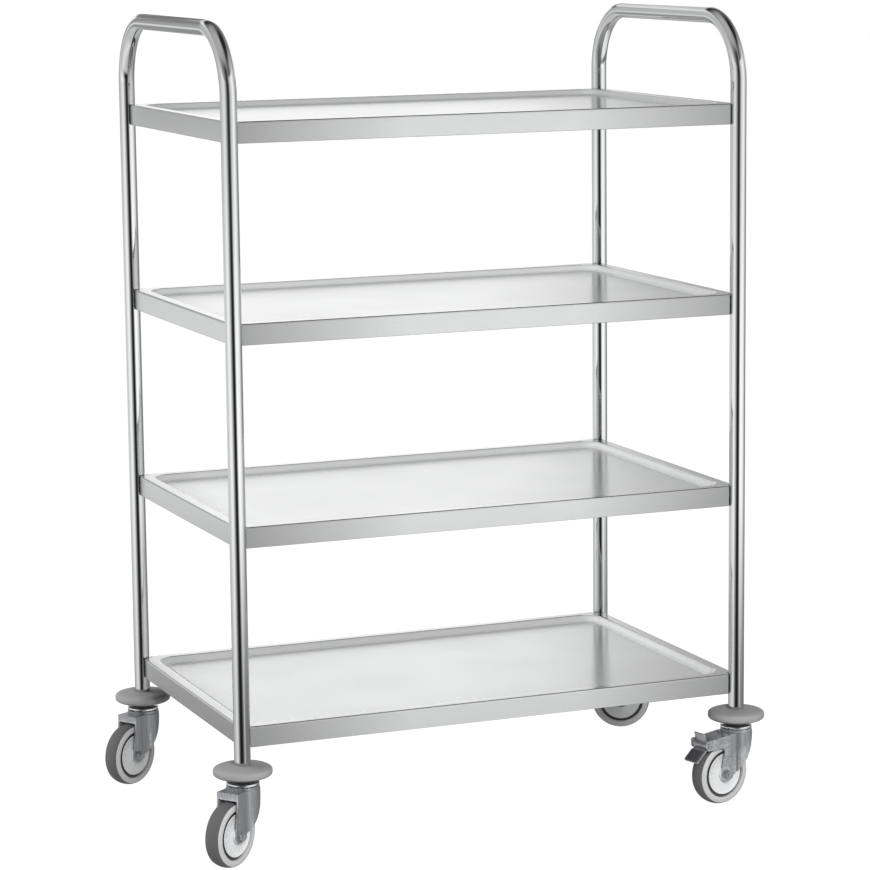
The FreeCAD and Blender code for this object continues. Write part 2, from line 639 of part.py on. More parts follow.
def axle(corner):
    """Axle bolt, its nut and the sleeve that the wheel turns on, all across the fork."""
    spot = ("Dim.castor_trail", AXLE_Z)
    hole = "Dim.axle_diameter / 2 + Dim.fit_clearance"

    bolt = new_body(f"{corner}_axle_bolt")
    shank = new_sketch(bolt, f"{corner}_axle_shank_circle", "XZ_Plane", ("0", "0", FORK_HALF))
    circle(shank, *spot, "Dim.axle_diameter / 2")
    length = f"2 * {FORK_HALF} + Dim.axle_nut_height + Dim.axle_end"
    extrude(bolt, "Pad", f"{corner}_axle_shank", shank, length, reverse=True)
    head = new_sketch(bolt, f"{corner}_axle_head_hexagon", "XZ_Plane", ("0", "0", FORK_HALF))
    hexagon(head, *spot, "Dim.axle_head_flats")
    extrude(bolt, "Pad", f"{corner}_axle_head", head, "Dim.axle_head_height")

    nut = new_body(f"{corner}_axle_nut")
    face = new_sketch(nut, f"{corner}_nut_hexagon", "XZ_Plane", ("0", "0", f"-{FORK_HALF}"))
    hexagon(face, *spot, "Dim.axle_head_flats")
    circle(face, *spot, hole)
    extrude(nut, "Pad", f"{corner}_nut_block", face, "Dim.axle_nut_height", reverse=True)

    sleeve = new_body(f"{corner}_axle_sleeve")
    ring = new_sketch(sleeve, f"{corner}_sleeve_ring", "XZ_Plane")
    circle(ring, *spot, "Dim.sleeve_diameter / 2")
    circle(ring, *spot, hole)
    extrude(sleeve, "Pad", f"{corner}_sleeve_tube", ring, "Dim.fork_inner_width", both_sides=True)

    for body in (bolt, nut, sleeve):
        place_castor(body, corner)
        keep(body, body.Label)


def mirrored(half):
    """Close a half section, given as width and radius, with its mirror image."""
    return half + [(f"-({width})", radius) for width, radius in reversed(half)]


def wheel(corner):
    """Plastic wheel centre on the sleeve, with the tyre round its rim."""
    where = ("0", AXLE_Z, "Dim.castor_trail")
    hub, disc, rim = "Dim.hub_diameter / 2", "Dim.disc_diameter / 2", "Dim.tyre_bead_diameter / 2"
    bore = "Dim.sleeve_diameter / 2 + Dim.fit_clearance"
    hub_half = "Dim.fork_inner_width / 2 - Dim.hub_side_clearance"
    disc_half, rim_half = "Dim.disc_width / 2", "Dim.wheel_rim_width / 2"
    centre = new_body(f"{corner}_wheel_centre")
    section = new_sketch(centre, f"{corner}_wheel_section", "YZ_Plane", where)
    half = [
        (hub_half, bore),
        (hub_half, hub),
        (disc_half, hub),
        (disc_half, disc),
        (rim_half, disc),
        (rim_half, rim),
    ]
    outline(section, mirrored(half))
    revolve(centre, f"{corner}_wheel_turn", section, "H_Axis")

    tyre = new_body(f"{corner}_tyre")
    section = new_sketch(tyre, f"{corner}_tyre_section", "YZ_Plane", where)
    crown_rise = "((Dim.wheel_diameter - Dim.shoulder_diameter) / 2)"
    crown = f"((Dim.shoulder_width ^ 2 / 4 + {crown_rise} ^ 2) / (2 * {crown_rise}))"
    half = [
        ("Dim.tyre_width / 2", f"{rim} + Dim.fit_clearance"),
        ("Dim.shoulder_width / 2", "Dim.shoulder_diameter / 2"),
    ]
    outline(section, mirrored(half), {1: (crown, "left")})
    revolve(tyre, f"{corner}_tyre_turn", section, "H_Axis")

    for body in (centre, tyre):
        place_castor(body, corner)
        keep(body, body.Label)


def fork_profile(braked):
    """Side view of a fork, as points and rounded edges."""
    left = "-1 * Dim.crown_diameter"
    over = f"{CROWN_TOP} + Dim.crown_diameter"
    lip_foot = f"{CROWN_UNDER} - Dim.crown_lip_depth"
    eye_x = "Dim.castor_trail - Dim.eye_radius * cos(Dim.eye_angle)"
    eye_z = f"{AXLE_Z} - Dim.eye_radius * sin(Dim.eye_angle)"
    nose = "Dim.castor_trail + Dim.plate_nose"
    points = [
        (left, over),
        (left, lip_foot),
        ("-1 * Dim.plate_back_reach", lip_foot),
        (eye_x, eye_z),
        ("Dim.castor_trail + Dim.eye_radius", AXLE_Z),
    ]
    arcs = {2: ("Dim.plate_back_radius", "left"), 3: ("Dim.eye_radius", "left")}
    if not braked:
        return points + [(nose, f"{CROWN_TOP} - Dim.nose_lip_depth"), (nose, over)], arcs
    corner = "Dim.arm_corner_radius"
    front = f"{PIVOT_X} + Dim.arm_nose"
    arm_top = f"{CROWN_TOP} - Dim.arm_top_drop"
    arm_foot = f"{arm_top} - Dim.arm_depth"
    points += [
        (nose, f"{arm_foot} - {corner}"),
        (f"{nose} + {corner}", arm_foot),
        (f"{front} - {corner}", arm_foot),
        (front, f"{arm_foot} + {corner}"),
        (front, arm_top),
        ("Dim.arm_slope_start", CROWN_TOP),
        ("Dim.arm_slope_start", over),
    ]
    arcs.update({5: (corner, "right"), 7: (corner, "left")})
    return points, arcs


def keyhole(sketch, half_width, radius, front):
    """Fork in plan: round about the swivel axis behind, straight sides, square front."""
    start = f"sqrt(({radius}) ^ 2 - ({half_width}) ^ 2)"
    points = [
        (front, f"-({half_width})"),
        (front, half_width),
        (start, half_width),
        (f"-({radius})", "0"),
        (start, f"-({half_width})"),
    ]
    outline(sketch, points, {2: (radius, "left"), 3: (radius, "left")})


def fork(corner):
    """Pressed fork: crown with the lower race's rim, two plates, and arms where it carries a brake."""
    braked = corner in BRAKED
    label = f"{corner}_fork"
    body = new_body(label)
    reach = f"({PIVOT_X} + Dim.arm_nose)" if braked else "(Dim.castor_trail + 2 * Dim.eye_radius)"
    plan = new_sketch(body, label + "_plan", "XY_Plane")
    keyhole(plan, FORK_HALF, "Dim.crown_diameter / 2", f"2 * {reach}")
    block = extrude(body, "Pad", label + "_block", plan, CROWN_TOP)
    wide = number(f"3 * {reach}")
    crown_edges = level_edges(block.Shape, number(CROWN_TOP), wide, wide)
    fillet(body, label + "_round", block, crown_edges, "Dim.crown_round")

    inner_front = f"3 * {reach}" if braked else "Dim.castor_trail + Dim.plate_nose - Dim.fork_wall"
    hollow = new_sketch(body, label + "_hollow_plan", "XY_Plane")
    keyhole(hollow, "Dim.fork_inner_width / 2", "Dim.crown_diameter / 2 - Dim.fork_wall", inner_front)
    extrude(body, "Pocket", label + "_hollow", hollow, CROWN_UNDER, reverse=True)

    mouth_start = "Dim.crown_diameter / 2" if braked else "Dim.castor_trail"
    mouth = new_sketch(body, label + "_mouth_view", "YZ_Plane", ("0", "0", mouth_start))
    half = "Dim.fork_inner_width / 2"
    mouth_top = f"2 * {CROWN_TOP}" if braked else f"{CROWN_TOP} - Dim.nose_lip_depth"
    outline(mouth, [(f"-{half}", "0"), (half, "0"), (half, mouth_top), (f"-{half}", mouth_top)])
    extrude(body, "Pocket", label + "_mouth", mouth, f"3 * {reach}", reverse=True)

    side = new_sketch(body, label + "_side_view", "XZ_Plane")
    outline(side, *fork_profile(braked))
    edge, top = f"4 * {reach}", f"3 * {CROWN_TOP}"
    outline(side, [(f"-{edge}", f"-{CROWN_TOP}"), (edge, f"-{CROWN_TOP}"), (edge, top), (f"-{edge}", top)])
    extrude(body, "Pocket", label + "_trim", side, "4 * Dim.crown_diameter", both_sides=True)

    bores = new_sketch(body, label + "_bore_view", "XZ_Plane")
    circle(bores, "Dim.castor_trail", AXLE_Z, "Dim.axle_diameter / 2 + Dim.fit_clearance")
    if braked:
        circle(bores, PIVOT_X, PIVOT_Z, "Dim.brake_pin_diameter / 2 + Dim.fit_clearance")
    extrude(body, "Pocket", label + "_bores", bores, "4 * Dim.crown_diameter", both_sides=True)

    rim = new_sketch(body, label + "_race_plan", "XY_Plane", ("0", "0", CROWN_TOP))
    circle(rim, "0", "0", "Dim.race_rim_diameter / 2")
    circle(rim, "0", "0", "Dim.race_rim_diameter / 2 - Dim.race_rim_wall")
    extrude(body, "Pad", label + "_race", rim, "Dim.race_rim_height")

    king = new_sketch(body, label + "_king_plan", "XY_Plane", ("0", "0", CROWN_TOP))
    circle(king, "0", "0", "Dim.stem_diameter / 2 + Dim.fit_clearance")
    extrude(body, "Pocket", label + "_king_bore", king, "2 * Dim.fork_wall")
    place_castor(body, corner)
    doc.recompute()
    keep(body, label)


def about_pivot(reach, side, angle):
    """Point at a reach and a sideways distance from the brake's pivot, along an angle."""
    return (
        f"{PIVOT_X} + ({reach}) * cos({angle}) - ({side}) * sin({angle})",
        f"{PIVOT_Z} + ({reach}) * sin({angle}) + ({side}) * cos({angle})",
    )


def bar_outline(sketch, start, end, low, high, angle):
    """Bar seen from the side, from start to end along an angle from the brake's pivot."""
    corners = ((start, low), (end, low), (end, high), (start, high))
    outline(sketch, [about_pivot(reach, side, angle) for reach, side in corners])


def brake(corner):
    """Foot pedal with cam and release tab, its dark pad and the pin across the fork's arms."""
    slope = "(0 - Dim.pedal_slope)"
    plate_low = "0 - Dim.pedal_offset - Dim.pedal_plate / 2"
    plate_high = "0 - Dim.pedal_offset + Dim.pedal_plate / 2"
    half_tab, half_cam = "Dim.pedal_plate / 2", "Dim.cam_thickness / 2"
    pedal = new_body(f"{corner}_brake_pedal")
    hub = new_sketch(pedal, f"{corner}_pedal_hub_circle", "XZ_Plane")
    circle(hub, PIVOT_X, PIVOT_Z, "Dim.pedal_hub_diameter / 2")
    hub_length = "Dim.fork_inner_width - 2 * Dim.pedal_side_clearance"
    extrude(pedal, "Pad", f"{corner}_pedal_hub", hub, hub_length, both_sides=True)
    foot = new_sketch(pedal, f"{corner}_foot_plate_side", "XZ_Plane")
    bar_outline(foot, "0", "Dim.pedal_reach", plate_low, plate_high, slope)
    extrude(pedal, "Pad", f"{corner}_foot_plate", foot, "Dim.pedal_width", both_sides=True)
    tab = new_sketch(pedal, f"{corner}_tab_side", "XZ_Plane")
    bar_outline(tab, "0", "Dim.tab_reach", f"0 - {half_tab}", half_tab, "(90 - Dim.tab_lean)")
    extrude(pedal, "Pad", f"{corner}_tab", tab, "Dim.tab_width", both_sides=True)
    cam = new_sketch(pedal, f"{corner}_cam_side", "XZ_Plane")
    bar_outline(cam, "0", CAM_REACH, f"0 - {half_cam}", half_cam, CAM_ANGLE)
    extrude(pedal, "Pad", f"{corner}_cam", cam, "Dim.cam_width", both_sides=True)
    bore = new_sketch(pedal, f"{corner}_pedal_bore_circle", "XZ_Plane")
    circle(bore, PIVOT_X, PIVOT_Z, "Dim.brake_pin_diameter / 2 + Dim.fit_clearance")
    extrude(pedal, "Pocket", f"{corner}_pedal_bore", bore, "4 * Dim.fork_inner_width", both_sides=True)

    pad = new_body(f"{corner}_brake_pad")
    side = new_sketch(pad, f"{corner}_pad_side", "XZ_Plane")
    pad_start = "Dim.pedal_reach - Dim.foot_pad_length"
    pad_end = "Dim.pedal_reach - Dim.foot_pad_inset"
    bar_outline(side, pad_start, pad_end, plate_high, f"{plate_high} + Dim.foot_pad_thickness", slope)
    pad_width = "Dim.pedal_width - 2 * Dim.foot_pad_inset"
    extrude(pad, "Pad", f"{corner}_pad_block", side, pad_width, both_sides=True)

    pin = new_body(f"{corner}_brake_pin")
    shaft = new_sketch(pin, f"{corner}_pin_circle", "XZ_Plane")
    circle(shaft, PIVOT_X, PIVOT_Z, "Dim.brake_pin_diameter / 2")
    extrude(pin, "Pad", f"{corner}_pin_shaft", shaft, f"2 * {FORK_HALF}", both_sides=True)
    for end, offset, reverse in (("near", FORK_HALF, False), ("far", f"-{FORK_HALF}", True)):
        head = new_sketch(pin, f"{corner}_pin_{end}_circle", "XZ_Plane", ("0", "0", offset))
        circle(head, PIVOT_X, PIVOT_Z, "Dim.pin_head_diameter / 2")
        extrude(pin, "Pad", f"{corner}_pin_{end}_head", head, "Dim.pin_head_height", reverse=reverse)

    for body in (pedal, pad, pin):
        place_castor(body, corner)
        keep(body, body.Label)


end_frame("left_end_frame", -1, ("front_left", "rear_left"))
end_frame("right_end_frame", 1, ("front_right", "rear_right"))
for shelf_label in SHELVES:
    shelf(shelf_label)
shelf_fasteners()
for castor_corner in CORNERS:
    bumper(castor_corner)
    stem_and_races(castor_corner)
    fork(castor_corner)
    axle(castor_corner)
    wheel(castor_corner)
for castor_corner in BRAKED:
    brake(castor_corner)
doc.recompute()

for item in doc.Objects:
    if "Invalid" in item.State or "Error" in item.State:
        raise RuntimeError(f"{item.Label} did not build: {item.State}")
os.makedirs("parts", exist_ok=True)
for piece in sub_parts:
    if piece.Shape.isNull() or not piece.Shape.isValid():
        raise RuntimeError(f"{piece.Label} has no sound shape")
    piece.Shape.exportStep(f"parts/{piece.Label}.step")
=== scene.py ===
import math

import bmesh
import bpy
from mathutils import Matrix, Vector


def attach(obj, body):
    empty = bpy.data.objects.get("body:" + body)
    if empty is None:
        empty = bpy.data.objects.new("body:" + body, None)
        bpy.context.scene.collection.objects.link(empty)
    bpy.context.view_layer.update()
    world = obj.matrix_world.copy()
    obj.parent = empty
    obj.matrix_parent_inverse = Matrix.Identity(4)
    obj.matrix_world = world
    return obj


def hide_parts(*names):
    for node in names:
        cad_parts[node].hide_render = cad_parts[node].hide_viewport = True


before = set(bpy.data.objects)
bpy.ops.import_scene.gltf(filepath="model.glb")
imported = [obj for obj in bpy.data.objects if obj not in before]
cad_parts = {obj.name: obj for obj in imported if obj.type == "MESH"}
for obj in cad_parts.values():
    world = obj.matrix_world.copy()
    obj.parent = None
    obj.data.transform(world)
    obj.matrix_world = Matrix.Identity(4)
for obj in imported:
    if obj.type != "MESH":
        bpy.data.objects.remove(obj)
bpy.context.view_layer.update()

# Studio: a white floor under soft light from the front, seen through a long lens from the front left.
# The walls left and right are white and the room behind the camera is dark, which polished tube mirrors.
# In the reflections near and far floor have their own shades, so the floor's plane is left out of them.
camera_data = bpy.data.cameras.new("studio_camera")
camera_data.lens = 133.12
camera_data.sensor_width = 36.0
camera_data.clip_end = 500.0
camera = bpy.data.objects.new("studio_camera", camera_data)
camera.location = (-1.9076, -4.7000, 1.4121)
camera.rotation_euler = (math.radians(80.7184), math.radians(0.6336), math.radians(-22.1325))
bpy.context.scene.collection.objects.link(camera)
bpy.context.scene.camera = camera
bpy.context.scene.view_settings.view_transform = "Standard"

key_lamp = bpy.data.lights.new("key_softbox", "AREA")
key_lamp.size = 1.8
key_lamp.energy = 300.0
key = bpy.data.objects.new("key_softbox", key_lamp)
key.location = (-0.3, -4.7, 2.5)
key.rotation_euler = (Vector((0, 0, 0.4)) - key.location).to_track_quat("-Z", "Y").to_euler()
key.visible_glossy = False
bpy.context.scene.collection.objects.link(key)

rim_lamp = bpy.data.lights.new("rim_softbox", "AREA")
rim_lamp.size = 1.6
rim_lamp.energy = 140.0
rim = bpy.data.objects.new("rim_softbox", rim_lamp)
rim.location = (-3.2, 2.2, 1.4)
rim.rotation_euler = (Vector((0, 0, 0.2)) - rim.location).to_track_quat("-Z", "Y").to_euler()
rim.visible_glossy = False
bpy.context.scene.collection.objects.link(rim)

bpy.ops.object.select_all(action="DESELECT")
bpy.ops.mesh.primitive_plane_add(size=400.0, location=(0, 0, 0))
floor = bpy.context.object
floor.name = "studio_floor"
floor.data.transform(Matrix.Translation((0, 0, -0.0005)))
floor.visible_glossy = False
floor.visible_diffuse = False
floor_paint = bpy.data.materials.new("floor_paint")
floor_paint.use_nodes = True
floor_paint.cycles.emission_sampling = "NONE"
floor_shader = floor_paint.node_tree.nodes["Principled BSDF"]
floor_shader.inputs["Base Color"].default_value = (0.16, 0.16, 0.16, 1)
floor_shader.inputs["Roughness"].default_value = 0.9
floor_shader.inputs["Specular IOR Level"].default_value = 0.0
floor_shader.inputs["Emission Color"].default_value = (1, 1, 1, 1)
floor_shader.inputs["Emission Strength"].default_value = 0.96
floor.data.materials.append(floor_paint)

world = bpy.data.worlds.new("studio_walls")
world.use_nodes = True
bpy.context.scene.world = world
walls = world.node_tree.nodes
wire = world.node_tree.links.new
walls.clear()
outlook = walls.new("ShaderNodeTexCoord")
way = walls.new("ShaderNodeSeparateXYZ")
wire(outlook.outputs["Generated"], way.inputs["Vector"])
bearing = walls.new("ShaderNodeMath")
bearing.operation = "ARCTAN2"
wire(way.outputs["X"], bearing.inputs[0])
wire(way.outputs["Y"], bearing.inputs[1])
height = walls.new("ShaderNodeMath")
height.operation = "ARCSINE"
wire(way.outputs["Z"], height.inputs[0])


def shade_by(angle, spots):
    """Brightness that runs through pairs of an angle in degrees and a shade."""
    first, last = spots[0][0], spots[-1][0]
    spread_out = walls.new("ShaderNodeMapRange")
    spread_out.inputs["From Min"].default_value = math.radians(first)
    spread_out.inputs["From Max"].default_value = math.radians(last)
    wire(angle.outputs["Value"], spread_out.inputs["Value"])
    strip = walls.new("ShaderNodeValToRGB")
    wire(spread_out.outputs["Result"], strip.inputs["Fac"])
    elements = strip.color_ramp.elements
    elements[0].color = (*[spots[0][1]] * 3, 1)
    elements[1].color = (*[spots[-1][1]] * 3, 1)
    for degrees, shade in spots[1:-1]:
        elements.new((degrees - first) / (last - first)).color = (shade, shade, shade, 1)
    return strip.outputs["Color"]


def change_over(below, above, start, end):
    """Pass from one shade to another between two heights in degrees."""
    step = walls.new("ShaderNodeMapRange")
    step.interpolation_type = "SMOOTHSTEP"
    step.inputs["From Min"].default_value = math.radians(start)
    step.inputs["From Max"].default_value = math.radians(end)
    wire(height.outputs["Value"], step.inputs["Value"])
    mix = walls.new("ShaderNodeMix")
    mix.data_type = "RGBA"
    wire(step.outputs["Result"], mix.inputs["Factor"])
    wire(below, mix.inputs["A"])
    wire(above, mix.inputs["B"])
    return mix.outputs["Result"]


def lay_over(way_of_mixing, below, above):
    """One shade laid over another."""
    mix = walls.new("ShaderNodeMix")
    mix.data_type = "RGBA"
    mix.blend_type = way_of_mixing
    mix.inputs["Factor"].default_value = 1.0
    wire(below, mix.inputs["A"])
    wire(above, mix.inputs["B"])
    return mix.outputs["Result"]


# Bearings are in degrees from straight behind the trolley, clockwise from above.
under_floor = shade_by(bearing, (
    (-180, 0.5), (-160, 0.7), (-100, 1.2), (-75, 1.0), (-45, 0.8), (0, 0.8), (60, 0.4), (90, 1.0),
    (130, 1.3), (165, 1.2), (180, 0.5),
))
near_floor = shade_by(bearing, (
    (-180, 0.15), (-172, 0.03), (-150, 0.015), (-140, 0.05), (-130, 0.2), (-118, 0.65), (-105, 1.0),
    (-90, 1.05), (-62, 0.75), (-40, 0.7), (-17, 0.36), (20, 0.4), (65, 0.3), (130, 0.25),
    (150, 0.45), (157, 0.85), (165, 0.4), (180, 0.15),
))
far_floor = shade_by(bearing, (
    (-180, 0.45), (-176, 0.12), (-168, 0.02), (-153, 0.02), (-146, 0.08), (-137, 0.35), (-127, 0.7),
    (-116, 1.1), (-106, 1.4), (-90, 1.4), (-75, 1.2), (-58, 0.95), (-42, 0.85), (-22, 1.05),
    (-10, 0.9), (2, 0.7), (20, 0.5), (40, 0.32), (60, 0.25), (80, 0.33), (97, 0.7), (112, 1.1),
    (127, 1.4), (160, 1.6), (170, 1.25), (176, 0.75), (180, 0.45),
))
wall_above = shade_by(bearing, (
    (-180, 0.45), (-175, 0.15), (-165, 0.04), (-152, 0.05), (-145, 0.12), (-137, 0.35),
    (-127, 0.65), (-116, 0.95), (-104, 1.15), (-88, 1.1), (-70, 0.95), (-52, 0.75), (-22, 0.7),
    (-14, 0.33), (10, 0.22), (15.6, 0.3), (17, 1.5), (23.5, 1.5), (25, 1.1), (26.5, 0.62),
    (30, 0.45), (52, 0.35), (80, 0.45), (97, 0.75), (112, 1.1), (127, 1.4), (145, 1.35), (152, 1.0),
    (168, 0.92), (175, 0.65), (180, 0.45),
))
wall_high = shade_by(bearing, (
    (-180, 0.4), (-172, 0.25), (-165, 0.06), (-150, 0.06), (-142, 0.14), (-127, 0.35), (-112, 0.5),
    (-90, 0.7), (-60, 0.75), (-30, 0.95), (-14, 1.1), (0, 0.9), (12, 0.7), (22, 0.6), (30, 0.35),
    (60, 0.35), (82, 0.55), (97, 0.75), (112, 1.1), (127, 1.3), (150, 1.3), (164, 1.0), (173, 0.6),
    (180, 0.4),
))
wall_top = shade_by(bearing, (
    (-180, 0.4), (-172, 0.25), (-165, 0.06), (-150, 0.05), (-127, 0.2), (-112, 0.34), (-97, 0.48),
    (-75, 0.6), (-50, 0.55), (-30, 0.4), (-18, 0.15), (-8, 0.04), (15, 0.04), (35, 0.2), (60, 0.25),
    (82, 0.4), (97, 0.6), (112, 0.75), (127, 0.6), (145, 0.3), (160, 0.15), (173, 0.2), (180, 0.3),
))
ceiling = shade_by(bearing, (
    (-180, 0.4), (-150, 0.5), (-120, 0.6), (-45, 0.6), (-15, 0.5), (10, 0.3), (35, 0.08),
    (60, 0.03), (125, 0.03), (150, 0.08), (168, 0.2), (180, 0.4),
))
floors = change_over(change_over(under_floor, near_floor, -27, -18), far_floor, -14.5, -9)
low_walls = change_over(floors, wall_above, -7.5, -2)
high_walls = change_over(change_over(low_walls, wall_high, 17.5, 21), wall_top, 26, 32)
room = change_over(high_walls, ceiling, 36, 56)
window_width = shade_by(bearing, (
    (-180, 0), (-13, 0), (-9, 1.1), (9, 1.1), (13, 0), (27, 0), (32, 0.9), (75, 0.9), (90, 0),
    (180, 0),
))
window_height = shade_by(height, ((-90, 0), (0, 0), (3, 1), (12, 1), (15, 0), (90, 0)))
lit_room = lay_over("LIGHTEN", room, lay_over("MULTIPLY", window_width, window_height))
reflected = walls.new("ShaderNodeBackground")
wire(lit_room, reflected.inputs["Color"])
soft_shade = shade_by(height, ((-90, 0.35), (-5, 0.35), (5, 0.7), (30, 0.5), (60, 0.15), (90, 0.1)))
soft_light = walls.new("ShaderNodeBackground")
wire(soft_shade, soft_light.inputs["Color"])
backdrop = walls.new("ShaderNodeBackground")
backdrop.inputs["Color"].default_value = (1, 1, 1, 1)
light_path = walls.new("ShaderNodeLightPath")
glossy_or_soft = walls.new("ShaderNodeMixShader")
wire(light_path.outputs["Is Glossy Ray"], glossy_or_soft.inputs["Fac"])
wire(soft_light.outputs["Background"], glossy_or_soft.inputs[1])
wire(reflected.outputs["Background"], glossy_or_soft.inputs[2])
seen_or_not = walls.new("ShaderNodeMixShader")
wire(light_path.outputs["Is Camera Ray"], seen_or_not.inputs["Fac"])
wire(glossy_or_soft.outputs["Shader"], seen_or_not.inputs[1])
wire(backdrop.outputs["Background"], seen_or_not.inputs[2])
sky = walls.new("ShaderNodeOutputWorld")
wire(seen_or_not.outputs["Shader"], sky.inputs["Surface"])

# End frames: each one 25 mm stainless tube, bent twice to make two legs and the push handle between them.
# The tube is polished bright along its length, and its feet stand in the bumper discs.
LEG_X = {"left": -0.424, "right": 0.406}
LEG_Y = {"front": -0.249, "rear": 0.261}
foot_z, bend_z = 0.1465, 1.1440
tube_radius, bend_radius = 0.0125, 0.100


def open_mesh(name):
    """Empty mesh object at the origin, open for modelling."""
    bpy.ops.object.select_all(action="DESELECT")
    mesh = bpy.data.meshes.new(name)
    piece = bpy.data.objects.new(name, mesh)
    bpy.context.scene.collection.objects.link(piece)
    bpy.context.view_layer.objects.active = piece
    piece.select_set(True)
    bpy.ops.object.mode_set(mode="EDIT")
    return piece


def close_mesh(piece, merge=0.00001, sharp=35.0):
    """Merge doubles, turn the faces outwards, close the mesh and smooth what isn't a sharp edge."""
    bpy.ops.mesh.select_all(action="SELECT")
    bpy.ops.mesh.remove_doubles(threshold=merge)
    bpy.ops.mesh.normals_make_consistent(inside=False)
    bpy.ops.object.mode_set(mode="OBJECT")
    bpy.ops.object.shade_smooth_by_angle(angle=math.radians(sharp))
    return piece


def draw(x=0.0, y=0.0, z=0.0):
    """Extrude what is selected by a distance."""
    bpy.ops.mesh.extrude_region_move(TRANSFORM_OT_translate={"value": (x, y, z)})


def new_effect(name, wants, gives):
    """Node group for one effect on a surface, with named sockets, and its two ends."""
    effect = bpy.data.node_groups.new(name, "ShaderNodeTree")
    for label, kind, value in wants:
        effect.interface.new_socket(label, in_out="INPUT", socket_type=kind).default_value = value
    for label in gives:
        effect.interface.new_socket(label, in_out="OUTPUT", socket_type="NodeSocketFloat")
    return effect, effect.nodes.new("NodeGroupInput"), effect.nodes.new("NodeGroupOutput")


def speckle(tree, where, scale, detail):
    """Noise pattern read at a position, at a fixed scale or at one that another node gives."""
    pattern = tree.nodes.new("ShaderNodeTexNoise")
    pattern.inputs["Detail"].default_value = detail
    tree.links.new(where, pattern.inputs["Vector"])
    if isinstance(scale, float):
        pattern.inputs["Scale"].default_value = scale
    else:
        tree.links.new(scale, pattern.inputs["Scale"])
    return pattern.outputs["Fac"]


def spread(tree, value, low, high, to_low=0.0, to_high=1.0):
    """Part of a pattern's range, spread over another range."""
    span = tree.nodes.new("ShaderNodeMapRange")
    span.inputs["From Min"].default_value = low
    span.inputs["From Max"].default_value = high
    span.inputs["To Min"].default_value = to_low
    span.inputs["To Max"].default_value = to_high
    tree.links.new(value, span.inputs["Value"])
    return span.outputs["Result"]


def calculate(tree, operation, first, second=None):
    """One step of arithmetic on one or two values."""
    step = tree.nodes.new("ShaderNodeMath")
    step.operation = operation
    for socket, value in zip(step.inputs, (first, second)):
        if isinstance(value, float):
            socket.default_value = value
        elif value is not None:
            tree.links.new(value, socket)
    return step.outputs["Value"]


def mix_colours(tree, factor, first, second):
    """Colour between two, each one fixed or given by another node."""
    mix = tree.nodes.new("ShaderNodeMix")
    mix.data_type = "RGBA"
    tree.links.new(factor, mix.inputs["Factor"])
    for label, colour in (("A", first), ("B", second)):
        if isinstance(colour, tuple):
            mix.inputs[label].default_value = (*colour, 1)
        else:
            tree.links.new(colour, mix.inputs[label])
    return mix.outputs["Result"]


position = ("Position", "NodeSocketVector", (0, 0, 0))
polishing_lines, entry, leave = new_effect(
    "polishing_lines", (position, ("Fineness", "NodeSocketVector", (900, 900, 6))), ("Tone", "Height")
)
drawn_out = polishing_lines.nodes.new("ShaderNodeVectorMath")
drawn_out.operation = "MULTIPLY"
polishing_lines.links.new(entry.outputs["Position"], drawn_out.inputs[0])
polishing_lines.links.new(entry.outputs["Fineness"], drawn_out.inputs[1])
lines = speckle(polishing_lines, drawn_out.outputs["Vector"], 1.0, 4.0)
polishing_lines.links.new(spread(polishing_lines, lines, 0.25, 0.75), leave.inputs["Tone"])
polishing_lines.links.new(lines, leave.inputs["Height"])

wiped_haze, entry, leave = new_effect(
    "wiped_haze", (position, ("Scale", "NodeSocketFloat", 7.0)), ("Haze",)
)
haze = speckle(wiped_haze, entry.outputs["Position"], entry.outputs["Scale"], 2.0)
wiped_haze.links.new(spread(wiped_haze, haze, 0.3, 0.7), leave.inputs["Haze"])

worn_edges, entry, leave = new_effect(
    "worn_edges", (position, ("Scale", "NodeSocketFloat", 220.0)), ("Wear",)
)
shape = worn_edges.nodes.new("ShaderNodeNewGeometry")
edges = spread(worn_edges, shape.outputs["Pointiness"], 0.52, 0.60)
rubbed = speckle(worn_edges, entry.outputs["Position"], entry.outputs["Scale"], 3.0)
rubbed = spread(worn_edges, rubbed, 0.35, 0.60)
worn_edges.links.new(calculate(worn_edges, "MULTIPLY", edges, rubbed), leave.inputs["Wear"])


def add_effect(material, effect, settings):
    """Put an effect into a material, on the object's own coordinates."""
    tree = material.node_tree
    node = tree.nodes.new("ShaderNodeGroup")
    node.node_tree = effect
    tree.links.new(tree.nodes["Texture Coordinate"].outputs["Object"], node.inputs["Position"])
    for label, value in settings.items():
        node.inputs[label].default_value = value
    return node.outputs


def toned(tint, factor):
    """A colour made darker or lighter."""
    return tuple(min(1.0, part * factor) for part in tint)


